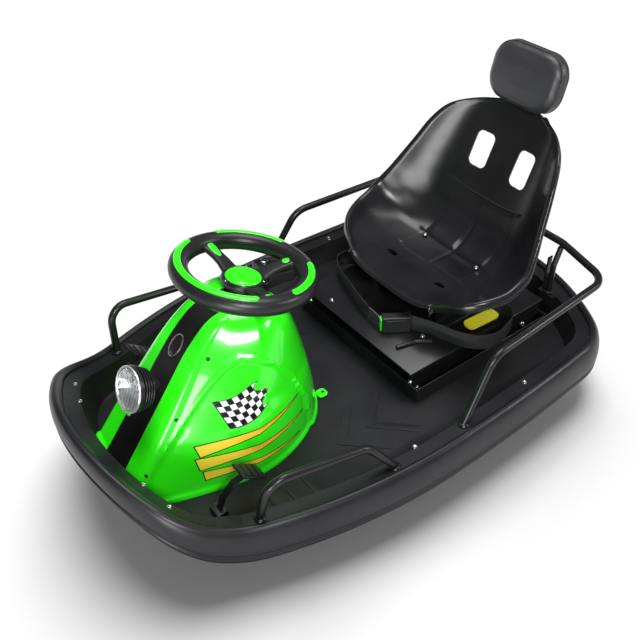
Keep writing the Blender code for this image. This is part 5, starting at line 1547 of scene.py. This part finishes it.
@dataclass
class Lamp:
    """The round headlamp on the strip."""

    centre: Point = (0.0, -0.454, 0.2945)
    tilt: float = math.radians(23.0)
    radius: float = 0.043
    depth: float = 0.046
    lens: float = 0.039
    flute_pitch: float = 0.0078
    flute_reach: float = 0.034

    def build(self, bench: Bench) -> None:
        """Builds the housing, the mirror, the bulb and the glass.

        Args:
            bench: The bench.
        """
        frame = Matrix.Translation(self.centre) @ Matrix.Rotation(math.pi / 2 - self.tilt, 4, "X")
        r = self.radius
        profile = [
            (0.0, -0.030), (0.010, -0.030), (self.lens * 0.7, -0.022), (self.lens + 0.0006, -0.007),
            (self.lens + 0.0006, -0.0028), (r - 0.0010, -0.0026), (r, -0.0032), (r, -0.0100),
            (r - 0.001, -0.011),
        ]
        depth = -0.011
        for row in range(4):
            root, tip = r * (0.84 - 0.045 * row), r * (0.965 - 0.045 * row)
            profile += [(root, depth - 0.0006), (root, depth - 0.0030), (tip - 0.0006, depth - 0.0034)]
            profile += [(tip, depth - 0.0040), (tip, depth - 0.0052), (tip - 0.0006, depth - 0.0058)]
            depth -= 0.0060
        profile += [(r * 0.60, depth - 0.003), (0.015, -self.depth), (0.013, -self.depth - 0.028)]
        profile += [(0.0, -self.depth - 0.028)]
        body = turned(profile, frame, 64)
        bench.make("lamp_body", body, Surface.LAMP, replaces=("lamp_housing",), angle=30.0)
        rows = (
            (0.006, -0.0285), (0.012, -0.0270), (0.020, -0.0225), (0.029, -0.0155), (0.0372, -0.0060),
            (0.0375, -0.0050), (0.0372, -0.0072), (0.029, -0.0167), (0.012, -0.0285), (0.006, -0.0296),
        )
        rings = []
        for step in range(48):
            wave = 1.0 if step % 4 < 2 else 0.965
            turn = spun(frame, math.tau * step / 48)
            rings.append([turn @ Vector((radius * wave, 0.0, height)) for radius, height in rows])
        bench.make("lamp_mirror", loft(rings, closed=True), Surface.MIRROR, angle=12.0)
        profile = [(0.0, -0.012), (0.004, -0.0135), (0.0058, -0.017), (0.0058, -0.029), (0.0, -0.029)]
        bulb = turned(profile, frame, 24)
        bench.make("lamp_bulb", bulb, Surface.CASTER)
        glass = [
            (0.0, 0.0030), (0.010, 0.0028), (0.020, 0.0020), (0.030, 0.0007), (0.0375, -0.0014),
            (self.lens, -0.0030), (self.lens, -0.0048), (0.0375, -0.0044), (0.030, -0.0024),
            (0.020, -0.0010), (0.010, -0.0003), (0.0, 0.0),
        ]
        front = turned(glass, frame, 64)
        bench.make("lamp_glass", front, Surface.GLASS, replaces=("lamp_lens",), angle=40.0)
        ring = [
            (self.lens - 0.0006, -0.0016), (self.lens + 0.0006, -0.0002), (self.lens + 0.0022, 0.0003),
            (r - 0.0008, -0.0008), (r - 0.0006, -0.0026), (self.lens - 0.0006, -0.0030),
            (self.lens - 0.0006, -0.0016),
        ]
        bench.make("lamp_ring", turned(ring, frame, 64), Surface.MIRROR, angle=60.0)
        bars = []
        for side in range(-4, 5):
            across = side * self.flute_pitch
            half = math.sqrt(self.flute_reach**2 - across**2)
            path = [frame @ Vector((across, half * share, -0.0050)) for share in (-1.0, -0.5, 0.0, 0.5, 1.0)]
            bars.append(tube(path, 0.0009, 8))
        bench.make("lamp_flutes", merged(bars), Surface.GLASS)
        place = frame @ Matrix.Translation((0.012, -0.0425, -0.006))
        tab = slab(rounded(0.010, 0.007, 0.003, 3), 0.004, place)
        bench.make("lamp_tab", tab, Surface.GREEN, bevel=0.0006)


@dataclass
class Tubework:
    """The bent tubes beside the foot wells and behind the seat."""

    hull: Hull
    radius: float = 0.008
    foot: float = 0.011
    rail_height: float = 0.265
    # Places across and along the kart
    rail_run = ((0.312, 0.131), (0.290, 0.474), (0.150, 0.510))

    def standing(self, corners: list[Vector], bend: float, radius: float) -> bmesh.types.BMesh:
        """A tube on two round feet.

        Args:
            corners: The path's corners, from foot to foot.
            bend: The bends' radius.
            radius: The tube's radius.

        Returns:
            The shape.
        """
        pipe = tube(bent(corners, bend), radius, 24)
        shapes = [pipe]
        for foot in (corners[0], corners[-1]):
            for vert in pipe.verts:
                if (vert.co - foot).length < 0.016 and vert.co.z < foot.z + 0.006:
                    vert.co.z = min(max(vert.co.z, foot.z + 0.0012), foot.z + 0.004)
            disc = [
                (0.0, 0.0), (self.foot - 0.0006, 0.0), (self.foot, 0.0006), (self.foot, 0.0022),
                (self.foot - 0.0012, 0.0032), (radius + 0.0016, 0.0036), (radius - 0.001, 0.0052),
                (0.0, 0.0052),
            ]
            shapes.append(turned(disc, Matrix.Translation(foot), 32))
        return merged(shapes)

    def build(self, bench: Bench) -> None:
        """Builds the guards, the rail, its posts and their bars.

        Args:
            bench: The bench.
        """
        low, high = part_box("foot_guard_left")
        front_foot = self.footing("foot_guard_left", True)
        rear_foot = self.footing("foot_guard_left", False)
        corners = [
            front_foot,
            Vector((front_foot.x + 0.018, front_foot.y + 0.010, 0.245)),
            Vector((rear_foot.x - 0.024, rear_foot.y - 0.046, 0.205)),
            rear_foot,
        ]
        guard = self.standing(corners, 0.035, self.radius)
        bench.pair("guard_tube", guard, Surface.STEEL_BLACK, "foot_guard", angle=45.0)
        LOG.info("guards reach from %s to %s", tuple(low), tuple(high))
        foot = self.footing("side_rail", True)
        right = [foot] + [Vector((across, forward, self.rail_height)) for across, forward in self.rail_run]
        left = [Vector((-point.x, point.y, point.z)) for point in reversed(right)]
        rail = self.standing(right + left, 0.050, self.radius)
        bench.make("rail_tube", rail, Surface.STEEL_BLACK, replaces=("side_rail",), angle=45.0)
        base = Vector((0.153, 0.490, 0.1438))
        path = bent([base, (0.153, 0.490, 0.215), (0.153, 0.5040, 0.2580)], 0.030)
        disc = [(0.0, 0.0), (self.foot, 0.0), (self.foot, 0.0026), (self.foot - 0.001, 0.0035), (0.0, 0.0045)]
        post = merged([tube(path, 0.0065, 20), turned(disc, Matrix.Translation(base), 32)])
        bench.pair("post_tube", post, Surface.STEEL_BLACK, "rear_post", angle=45.0)
        place = Matrix.Translation((0.1405, 0.4895, 0.190)) @ Matrix.Rotation(math.pi / 2, 4, "X")
        bar = slab(rounded(0.003, 0.086, 0.0012, 2), 0.014, place)
        bench.pair("post_bar", bar, Surface.STEEL_BLACK, bevel=0.0006)
        holes = [
            ((side * 0.1388, 0.4895, 0.156 + 0.0115 * row), (-side, 0, 0))
            for side in (-1, 1)
            for row in range(7)
        ]
        bench.stand("bar_holes", holes, screw_item(), 0.006, Surface.CASE)

    def footing(self, node: str, front: bool) -> Vector:
        """Where a solid tube's left foot stands.

        Args:
            node: The solid.
            front: Whether its front foot is wanted, not its rear one.

        Returns:
            The middle of the foot's underside.
        """
        low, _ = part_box(node)
        mesh = bpy.data.objects[node].data
        points = [vert.co for vert in mesh.vertices if vert.co.z < low.z + 0.0045 and vert.co.x > 0]
        rear, front_most = max(p.y for p in points), min(p.y for p in points)
        if rear - front_most > 0.05:
            points = [p for p in points if (p.y < (front_most + rear) / 2) == front]
        centre = sum((Vector(p) for p in points), Vector()) / len(points)
        centre.z = min(p.z for p in points)
        return centre


@dataclass
class Seat:
    """The moulded bucket with its rolled lip, moulded lines, holes and bolts."""

    base_front: float = 0.056
    wall: float = 0.004

    # From the front lip up to the top of the back. Columns: centre behind the base's front,
    # centre height, rim across, rim behind the base's front, rim height
    shape = np.array(
        (
            (0.0830, 0.2470, 0.1180, 0.0920, 0.2550),
            (0.1100, 0.2445, 0.1760, 0.1200, 0.2755),
            (0.1500, 0.2435, 0.2020, 0.1500, 0.2865),
            (0.2050, 0.2385, 0.2200, 0.2000, 0.2965),
            (0.2550, 0.2370, 0.2215, 0.2400, 0.3155),
            (0.3000, 0.2520, 0.2090, 0.2730, 0.3500),
            (0.3330, 0.2850, 0.1940, 0.3000, 0.3890),
            (0.3570, 0.3350, 0.1810, 0.3250, 0.4250),
            (0.3850, 0.4000, 0.1670, 0.3500, 0.4630),
            (0.4130, 0.4620, 0.1440, 0.3830, 0.4970),
            (0.4380, 0.5120, 0.0980, 0.4220, 0.5140),
            (0.4480, 0.5270, 0.0550, 0.4400, 0.5230),
        )
    )
    # Rows on which a moulded line lies, and the places across of the lines up the back
    cross_lines = (3.05, 4.38, 7.05)
    back_lines = (-0.090, 0.0, 0.090)
    # The rolled lip's points outside and over the rim
    lip = ((0.0030, 0.0046), (0.0065, 0.0042), (0.0100, 0.0016), (0.0128, -0.0040), (0.0140, -0.0120))
    groove: float = 0.0014
    groove_rows: float = 0.05
    groove_half: float = 0.0045
    groove_reach: float = 0.105
    pillow: float = 0.0024
    roll: float = 0.0036

    def station(self, row: float) -> list[float]:
        """The shape's columns at a row."""
        rows = np.arange(len(self.shape), dtype=float)
        at = np.array((row,))
        return [float(hermite(rows, self.shape[:, column], at)[0]) for column in range(5)]

    def row_places(self) -> list[float]:
        """The rows of the mesh, closer beside a moulded line."""
        places = set(np.round(np.linspace(0.0, len(self.shape) - 1.0, 78), 4).tolist())
        for line in self.cross_lines:
            places.update(round(line + shift, 4) for shift in (-0.06, -0.03, 0.0, 0.03, 0.06))
        made = sorted(places)
        return [place for index, place in enumerate(made) if index == 0 or place - made[index - 1] > 0.012]

    def line(self, row: float) -> list[Vector]:
        """One row of the sheet, from the right lip to the left one.

        Args:
            row: Its row.

        Returns:
            Its points.
        """
        centre_y, centre_z, rim_x, rim_y, rim_z = self.station(row)
        centre_y += self.base_front
        rim_y += self.base_front
        points = []
        for share in np.round(np.linspace(0.0, 1.0, 45), 4).tolist():
            rise = share**3.4
            height = centre_z + (rim_z - centre_z) * rise + self.roll * eased(share, 0.90, 1.0)
            points.append(Vector((rim_x * share, centre_y + (rim_y - centre_y) * rise, height)))
        points += [Vector((rim_x + across, rim_y, rim_z + up)) for across, up in self.lip]
        left = [Vector((-point.x, point.y, point.z)) for point in reversed(points[1:])]
        return left + points

    def sheet(self) -> bmesh.types.BMesh:
        """The seat's upper surface with its moulded lines."""
        rows = self.row_places()
        lines = [self.line(row) for row in rows]
        moved = []
        for row, line, ways in zip(rows, lines, outward(lines)):
            made = []
            for point, way in zip(line, ways):
                depths = [0.0]
                if abs(point.x) < self.groove_reach:
                    depths += [1.0 - abs(row - place) / self.groove_rows for place in self.cross_lines]
                if self.cross_lines[0] < row < self.cross_lines[2]:
                    depths += [1.0 - abs(point.x - across) / self.groove_half for across in self.back_lines]
                made.append(point + way * (self.swelling(row, point.x) - self.groove * max(depths)))
            moved.append(made)
        # Columns: the row that is copied, how far the copy lies behind it and over it
        ends = ((0, -0.010, -0.0065), (0, -0.006, -0.0010), (-1, 0.004, 0.0002), (-1, 0.0085, -0.0060))
        lower, front, end, last = (
            [Vector((p.x, p.y + behind, p.z + over)) for p in moved[row]] for row, behind, over in ends
        )
        return grid([lower, front, *moved, end, last])

    def swelling(self, row: float, across: float) -> float:
        """How far the panels between the moulded lines of the lower back stand out."""
        low, high = self.cross_lines[1], self.cross_lines[1] + 1.75
        share = eased(row, low, low + 0.12) * (1.0 - eased(row, high - 0.12, high))
        near = min(abs(across - line) for line in self.back_lines)
        return self.pillow * share * eased(near, 0.0, 0.012) * (1.0 - eased(abs(across), 0.082, 0.090))

    def cutters(self) -> list[bpy.types.Object]:
        """The tools for the back's two slots and the pan's two holes."""
        tools = []
        for side in (-1, 1):
            back = Matrix.Translation((side * 0.0576, self.base_front + 0.3955, 0.4228))
            back = back @ Matrix.Rotation(math.pi / 2 - math.radians(24.0), 4, "X")
            shapes = [slab(rounded(0.047, 0.077, 0.013, 5), 0.12, back)]
            pan = Matrix.Translation((side * 0.0745, self.base_front + 0.1635, 0.243))
            shapes.append(slab(rounded(0.026, 0.013, 0.0063, 6), 0.04, pan))
            for shape in shapes:
                bmesh.ops.recalc_face_normals(shape, faces=shape.faces)
                tools.append(linked("cutter", meshed(shape, "cutter")))
        return tools

    def build(self, bench: Bench) -> None:
        """Builds the shell and its bolts.

        Args:
            bench: The bench.
        """
        sheet = self.sheet()
        shell = bench.make("seat_bucket", sheet, Surface.SEAT, replaces=("seat_shell",), wall=self.wall)
        tools = self.cutters()
        for tool in tools:
            cut = shell.modifiers.new("Cut", "BOOLEAN")
            cut.object = tool
            cut.operation = "DIFFERENCE"
        mesh = settled(shell)
        shell.modifiers.clear()
        shell.data = mesh
        shaded(mesh, 40.0)
        for tool in tools:
            bpy.data.objects.remove(tool, do_unlink=True)
        edged(shell, 0.0008, 50.0)
        spots = [((side * 0.0795, 0.3205, 0.2452), (0.0, -0.33, 0.94)) for side in (-1, 1)]
        bench.stand("seat_bolts", spots, bolt_item(), 0.0105, Surface.STEEL)


def inflated(
    piece: bpy.types.Object, voxel: float, cap: float, frames: int = 20, rounds: int = 40
) -> None:
    """Swells a closed piece as cloth under pressure and keeps the result.

    Args:
        piece: The piece, whose mesh is changed.
        voxel: The remesh's cell.
        cap: How far a point may move.
        frames: How many frames are run.
        rounds: How often the swelling is evened out between neighbours.
    """
    remesh = piece.modifiers.new("Voxels", "REMESH")
    remesh.mode = "VOXEL"
    remesh.voxel_size = voxel
    mesh = settled(piece)
    piece.modifiers.clear()
    materials = list(piece.data.materials)
    piece.data = mesh
    mesh.materials.clear()
    for material in materials:
        mesh.materials.append(material)
    start = np.array([vert.co for vert in mesh.vertices])
    cloth = piece.modifiers.new("Cloth", "CLOTH")
    cloth.settings.use_pressure = True
    cloth.settings.uniform_pressure_force = PRESSURE
    cloth.settings.effector_weights.gravity = 0.0
    scene = bpy.context.scene
    for frame in range(1, frames + 1):
        scene.frame_set(frame)
    swollen = settled(piece)
    end = np.array([vert.co for vert in swollen.vertices])
    piece.modifiers.clear()
    scene.frame_set(1)
    normals = np.array([vert.normal for vert in mesh.vertices])
    rises = ((end - start) * normals).sum(axis=1)
    edges = np.array([edge.vertices[:] for edge in mesh.edges])
    count = len(rises)
    links = np.bincount(edges.ravel(), minlength=count)
    for _ in range(rounds):
        near = np.bincount(edges[:, 0], weights=rises[edges[:, 1]], minlength=count)
        near += np.bincount(edges[:, 1], weights=rises[edges[:, 0]], minlength=count)
        rises = (rises + near / links) / 2
    rises = np.clip(rises, 0.0, cap)
    places = start + normals * rises[:, None]
    mesh.vertices.foreach_set("co", places.astype(np.float32).ravel())
    mesh.update()
    bpy.data.meshes.remove(swollen)


@dataclass
class Headrest:
    """The padded headrest, its side band's piping and its bracket."""

    centre: Point = (0.0, 0.497, 0.596)
    lean: float = math.radians(14.0)
    width: float = 0.182
    height: float = 0.123
    thickness: float = 0.052
    corner: float = 0.046
    voxel: float = 0.005
    swell: float = 0.0045
    piping: float = 0.0014
    # Columns: depth as a share of half the thickness, size as a share of the outline
    sections = (
        (-0.86, 0.66), (-0.80, 0.84), (-0.50, 0.945), (0.0, 0.975), (0.50, 0.955), (0.80, 0.88),
        (0.86, 0.72),
    )

    def frame(self) -> Matrix:
        """A matrix at the pad's middle, with Y through it and Z up it."""
        return Matrix.Translation(self.centre) @ Matrix.Rotation(-self.lean, 4, "X")

    def ring(self, depth: float, share: float, steps: int = 8) -> list[Vector]:
        """The pad's outline at a depth, scaled by a share."""
        outline = rounded(self.width * share, self.height * share, self.corner * share, steps)
        return [self.frame() @ Vector((across, depth * self.thickness / 2, up)) for across, up in outline]

    def build(self, bench: Bench) -> None:
        """Builds the pad, its piping and its bracket.

        Args:
            bench: The bench.
        """
        block = loft([self.ring(depth, share) for depth, share in self.sections])
        pad = bench.make("head_pad", block, Surface.PAD, replaces=("headrest_pad",))
        inflated(pad, self.voxel, self.swell)
        fine = pad.modifiers.new("Fine", "SUBSURF")
        fine.levels = 1
        fine.render_levels = 1
        pad.data.shade_smooth()
        surface = BVHTree.FromObject(pad, bpy.context.evaluated_depsgraph_get())
        axis = self.frame().col[1].to_3d().normalized()
        for name, depth in (("front", -0.42), ("back", 0.30)):
            middle = self.frame() @ Vector((0.0, depth * self.thickness / 2, 0.0))
            path = []
            for point in self.ring(depth, 1.0, 12):
                found = surface.ray_cast(middle, point - middle)[0]
                path.append(found or point)
            after = path[1:] + path[:1]
            before = path[-1:] + path[:-1]
            ways = [axis.cross((b - a).normalized()).normalized() for a, b in zip(before, after)]
            bead = hoop(path, ways, axis, self.piping)
            bench.make(f"piping_{name}", bead, Surface.PIPING, angle=60.0)
        bench.refined("headrest_bracket", Surface.STEEL_BLACK, 0.0006)


@dataclass
class Harness:
    """The lap belt with its buckle and tongue."""

    low: float = 0.1618
    web: float = 0.038
    thick: float = 0.0022
    buckle: Point = (0.056, 0.063, 0.020)
    buckle_turn: float = math.radians(56.0)
    base_front: float = 0.056
    left = (
        (0.0738, 0.0892), (0.105, 0.106), (0.140, 0.120), (0.175, 0.133), (0.205, 0.155), (0.220, 0.187),
        (0.214, 0.223), (0.203, 0.253), (0.184, 0.269), (0.158, 0.273),
    )
    right = (
        (-0.0096, 0.0413), (-0.040, 0.046), (-0.070, 0.054), (-0.120, 0.067), (-0.165, 0.083),
        (-0.190, 0.105), (-0.188, 0.131), (-0.165, 0.145), (-0.130, 0.151),
    )

    def strap(self, points: tuple) -> bmesh.types.BMesh:
        """A strap on its edge, with UVs in metres.

        Args:
            points: Its places across and behind the base's front.

        Returns:
            The shape.
        """
        count = len(points)
        path = []
        for index in range(count - 1):
            near = [Vector(points[min(max(index + shift, 0), count - 1)]) for shift in (-1, 0, 1, 2)]
            path += [curved(near, step / 8) for step in range(8)]
        path.append(Vector(points[-1]))
        section = rounded(self.thick, self.web, self.thick * 0.48, 3)
        shape = bmesh.new()
        uv = shape.loops.layers.uv.new("UVMap")
        rings = []
        travel = [0.0]
        for index, place in enumerate(path):
            ahead = heading(path, index)
            out = Vector((-ahead.y, ahead.x, 0.0))
            foot = Vector((place.x, place.y + self.base_front, self.low + self.web / 2))
            wave = 0.0012 * math.sin(index * 0.55)
            ring = []
            for across, up in section:
                tilt = wave * up / self.web
                ring.append(shape.verts.new(foot + out * (across + tilt) + Vector((0, 0, up))))
            rings.append(ring)
            if index:
                travel.append(travel[-1] + (place - path[index - 1]).length)
        shape.faces.new(rings[0])
        shape.faces.new(rings[-1])
        heights = [up for _, up in section]
        for row, (lower, upper) in enumerate(zip(rings, rings[1:])):
            for index in range(len(section)):
                after = (index + 1) % len(section)
                face = shape.faces.new((lower[index], lower[after], upper[after], upper[index]))
                spots = ((index, row), (after, row), (after, row + 1), (index, row + 1))
                for loop, (column, line) in zip(face.loops, spots):
                    loop[uv].uv = (heights[column], travel[line])
        return shape

    def build(self, bench: Bench) -> None:
        """Builds the straps, the buckle, its button and the tongue.

        Args:
            bench: The bench.
        """
        for side, points in (("left", self.left), ("right", self.right)):
            belt = (f"belt_{side}",)
            bench.make(f"strap_{side}", self.strap(points), Surface.WEB, replaces=belt, angle=50.0)
        across, behind, over = self.buckle
        centre = Vector((across, self.base_front + behind, self.low + over))
        frame = Matrix.Translation(centre) @ Matrix.Rotation(self.buckle_turn, 4, "Z")
        upright = frame @ Matrix.Rotation(math.pi / 2, 4, "X")
        case = slab(rounded(0.062, 0.040, 0.005, 4), 0.020, upright)
        bench.make("buckle_case", case, Surface.BUCKLE, replaces=("belt_buckle",), bevel=0.0022)
        rib = slab(rounded(0.046, 0.026, 0.004, 4), 0.0220, upright)
        bench.make("buckle_face", rib, Surface.BUCKLE, bevel=0.0008)
        place = upright @ Matrix.Translation((-0.0305, 0.0, 0.0))
        button = slab(rounded(0.0060, 0.030, 0.0020, 3), 0.0165, place)
        bench.make("buckle_button", button, Surface.GREEN, bevel=0.0008)
        bench.refined("belt_tongue", Surface.STEEL, 0.0006)


@dataclass
class SeatBase:
    """The steel base under the seat, its bolts, the release and the stand."""

    def build(self, bench: Bench) -> None:
        """Builds the base's pieces.

        Args:
            bench: The bench.
        """
        for node, bevel in (("base_tray", 0.0010), ("seat_plate", 0.0008), ("seat_stand", 0.0008)):
            bench.refined(node, Surface.STEEL_BLACK, bevel)
        bench.refined("battery", Surface.CASE, 0.0010)
        bench.refined("release_rod", Surface.STEEL_BLACK, 0.0)
        bench.refined("release_tab", Surface.YELLOW, 0.0016)
        spots = [
            ((0.1677, 0.0618, 0.1296), (0, -1, 0)), ((0.1752, 0.076, 0.110), (1, 0, 0)),
            ((0.1752, 0.385, 0.117), (1, 0, 0)), ((-0.106, 0.076, 0.1617), (0, 0, 1)),
            ((0.106, 0.150, 0.1617), (0, 0, 1)), ((-0.106, 0.345, 0.1617), (0, 0, 1)),
            ((0.106, 0.345, 0.1617), (0, 0, 1)), ((-0.1752, 0.076, 0.110), (-1, 0, 0)),
            ((-0.1752, 0.385, 0.117), (-1, 0, 0)), ((-0.1677, 0.0618, 0.1296), (0, -1, 0)),
        ]
        bench.stand("base_bolts", spots, bolt_item(), 0.012, Surface.STEEL)


@dataclass
class Running:
    """The driven wheel, its fork, the casters and the frame under the floor."""

    centre: Point = (0.0, -0.282085, 0.075)
    radius: float = 0.075
    width: float = 0.045
    bead: float = 0.057

    def build(self, bench: Bench) -> None:
        """Builds the running gear.

        Args:
            bench: The bench.
        """
        lying = Matrix.Translation(self.centre) @ Matrix.Rotation(math.pi / 2, 4, "Y")
        r, half, bead = self.radius, self.width / 2, self.bead
        side = [(r - 0.0018, 0.66), (r - 0.006, 0.92), (bead + 0.0063, 1.0), (bead, 0.80)]
        profile = [(radius, -half * share) for radius, share in reversed(side)]
        for groove in (-0.42, 0.0, 0.42):
            middle = half * groove
            profile += [(r, middle - 0.0016), (r - 0.0022, middle - 0.0010)]
            profile += [(r - 0.0022, middle + 0.0010), (r, middle + 0.0016)]
        profile += [(radius, half * share) for radius, share in side]
        tyre = turned(profile, lying, 72)
        bench.make("tyre_tread", tyre, Surface.TYRE, "drive_wheel", ("drive_tyre",), 30.0)
        bench.refined("hub_motor", Surface.STEEL, 0.0006)
        bench.refined("drive_fork", Surface.STEEL_BLACK, 0.0008)
        bench.refined("steering_bridge", Surface.STEEL_BLACK, 0.0010)
        bench.refined("under_frame", Surface.STEEL_BLACK, 0.0012)
        for side in ("left", "right"):
            bench.refined(f"caster_fork_{side}", Surface.STEEL, 0.0005)
            bench.refined(f"caster_wheel_{side}", Surface.CASTER, 0.0005)


@dataclass
class Controls:
    """The pedals, the switch box and the key."""

    pedal: Point = (0.1965, -0.3405, 0.180)
    tilt: float = math.radians(-37.0)
    bar_pitch: float = 0.015
    bar_lift: float = 0.0036

    def build(self, bench: Bench) -> None:
        """Builds the controls.

        Args:
            bench: The bench.
        """
        bench.refined("brake_pedal", Surface.STEEL_BLACK, 0.0008)
        bench.refined("accelerator_pedal", Surface.STEEL_BLACK, 0.0008)
        pads = Matrix.Translation(self.pedal) @ Matrix.Rotation(self.tilt, 4, "X")
        bar = rounded(0.032, 0.003, 0.0014, 2)
        ups = [Vector((0, self.bar_pitch * row, self.bar_lift)) for row in (-1, 0, 1)]
        bars = [slab(bar, 0.0020, pads @ Matrix.Translation(up)) for up in ups]
        bench.pair("pedal_bars", merged(bars), Surface.GRIP, bevel=0.0004)
        bench.refined("control_box", Surface.GRIP, 0.0010)
        bench.refined("key_switch", Surface.STEEL, 0.0)


@dataclass
class Studio:
    """The floor, the lights and the camera."""

    camera_place: Point = (1.029, -0.795, 1.319)
    back: Point = (0.6135, -0.4524, 0.6473)
    roll: float = math.radians(-1.223)
    lens: float = 47.09
    floor_size: float = 14.0
    floor_glow: float = 0.10
    world_light: float = 0.12
    sky_power: float = 3.6
    sky_spread: float = math.radians(44.0)
    sky_way: Point = (0.36, -0.30, -1.0)

    def camera(self) -> None:
        """Sets the camera at the photograph's viewing angle."""
        back = Vector(self.back).normalized()
        right = (-back).cross(Vector((0, 0, 1))).normalized()
        up = right.cross(-back)
        side = right * math.cos(self.roll) + up * math.sin(self.roll)
        rise = up * math.cos(self.roll) - right * math.sin(self.roll)
        matrix = Matrix.Identity(4)
        for column, axis in enumerate((side, rise, back)):
            for row in range(3):
                matrix[row][column] = axis[row]
        matrix.translation = Vector(self.camera_place)
        data = bpy.data.cameras.new("camera")
        data.lens = self.lens
        data.sensor_width = 36.0
        camera = linked("camera", data)
        camera.matrix_world = matrix
        bpy.context.scene.camera = camera

    def backdrop(self, name: str, bright: float) -> bpy.types.Material:
        """A pale material that the camera sees a little lighter.

        Args:
            name: The material's name.
            bright: How much light it adds for the camera.

        Returns:
            The material.
        """
        graph = Graph(name)
        rays = graph.tree.nodes.new("ShaderNodeLightPath")
        seen = Value(graph, rays.outputs["Is Camera Ray"])
        return graph.finish(
            Base_Color=(0.80, 0.80, 0.80),
            Roughness=0.9,
            Specular_IOR_Level=0.0,
            Emission_Color=(1.0, 1.0, 1.0),
            Emission_Strength=seen * bright,
        )

    def aimed(self, name: str, kind: str, way: Vector) -> bpy.types.Object:
        """A lamp that shines along a direction.

        Args:
            name: Its name.
            kind: Its kind.
            way: The direction.

        Returns:
            The lamp.
        """
        lamp = linked(name, bpy.data.lights.new(name, kind))
        lamp.rotation_euler = way.to_track_quat("-Z", "Y").to_euler()
        return lamp

    def build(self) -> None:
        """Builds the floor and the lights."""
        self.camera()
        shape = bmesh.new()
        bmesh.ops.create_grid(shape, x_segments=1, y_segments=1, size=self.floor_size)
        mesh = meshed(shape, "floor")
        mesh.materials.append(self.backdrop("floor_pale", self.floor_glow))
        floor = linked("floor", mesh)
        world = bpy.data.worlds.new("studio")
        bpy.context.scene.world = world
        world.use_nodes = True
        tree = world.node_tree
        plain = tree.nodes["Background"]
        plain.inputs["Color"].default_value = (1.0, 1.0, 1.0, 1.0)
        rays = tree.nodes.new("ShaderNodeLightPath")
        lit = tree.nodes.new("ShaderNodeMapRange")
        lit.inputs["To Min"].default_value = self.world_light
        lit.inputs["To Max"].default_value = 1.0
        tree.links.new(rays.outputs["Is Camera Ray"], lit.inputs["Value"])
        tree.links.new(lit.outputs["Result"], plain.inputs["Strength"])
        apart = bpy.data.collections.new("not_for_the_floor")
        apart.objects.link(floor)
        apart.collection_objects[0].light_linking.link_state = "EXCLUDE"
        # Columns: name, place, what it points at, size, power in watts
        lamps = (
            ("overhead", (-0.1, 0.4, 2.5), (0.0, 0.0, 0.2), 1.3, 30.0),
            ("window", (1.75, -0.95, 1.80), (0.09, -0.25, 0.30), 0.55, 30.0),
            ("front", (1.9, -2.4, 0.55), (0.1, -0.3, 0.2), 1.1, 40.0),
            ("rear", (1.6, 1.9, 1.5), (0.1, 0.3, 0.3), 0.6, 16.0),
        )
        for name, place, aim, size, power in lamps:
            lamp = self.aimed(name, "AREA", Vector(aim) - Vector(place))
            lamp.location = place
            lamp.data.shape = "SQUARE"
            lamp.data.size = size
            lamp.data.energy = power
            lamp.light_linking.receiver_collection = apart
        sky = self.aimed("sky", "SUN", Vector(self.sky_way))
        sky.data.energy = self.sky_power
        sky.data.angle = self.sky_spread
        sky.visible_glossy = False
        bpy.context.scene.view_settings.view_transform = "Standard"


PLAIN_FINISHES = {
    "bumper_black": Surface.BUMPER,
    "tray_black": Surface.TRAY,
    "cowl_green": Surface.GREEN,
    "strip_black": Surface.STRIP,
    "frame_black": Surface.STEEL_BLACK,
    "seat_black": Surface.SEAT,
    "pad_black": Surface.PAD,
    "rim_black": Surface.GRIP,
    "lamp_black": Surface.LAMP,
    "lens_clear": Surface.GLASS,
    "steel": Surface.STEEL,
    "tab_yellow": Surface.YELLOW,
    "webbing_black": Surface.WEB,
    "tyre_black": Surface.TYRE,
    "caster_white": Surface.CASTER,
    "battery_grey": Surface.CASE,
}


def corners(box: object) -> list[list[float]]:
    """A box's two corners as plain lists."""
    return [[float(part) for part in corner] for corner in box]


def main() -> None:
    """Builds the whole kart in its studio."""
    logging.basicConfig(level=logging.INFO, format="%(name)s: %(message)s")
    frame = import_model()
    Studio().build()
    bench = Bench(frame)
    hull = Hull(BodyPlan())
    parts = (hull, Cowl(hull), SteeringWheel(), Lamp(), Tubework(hull), Seat(), Headrest())
    parts += (Harness(), SeatBase(), Running(), Controls())
    for part in parts:
        part.build(bench)
        LOG.info("%s is built", type(part).__name__)
    bench.dress(PLAIN_FINISHES)


if __name__ == "__main__":
    main()
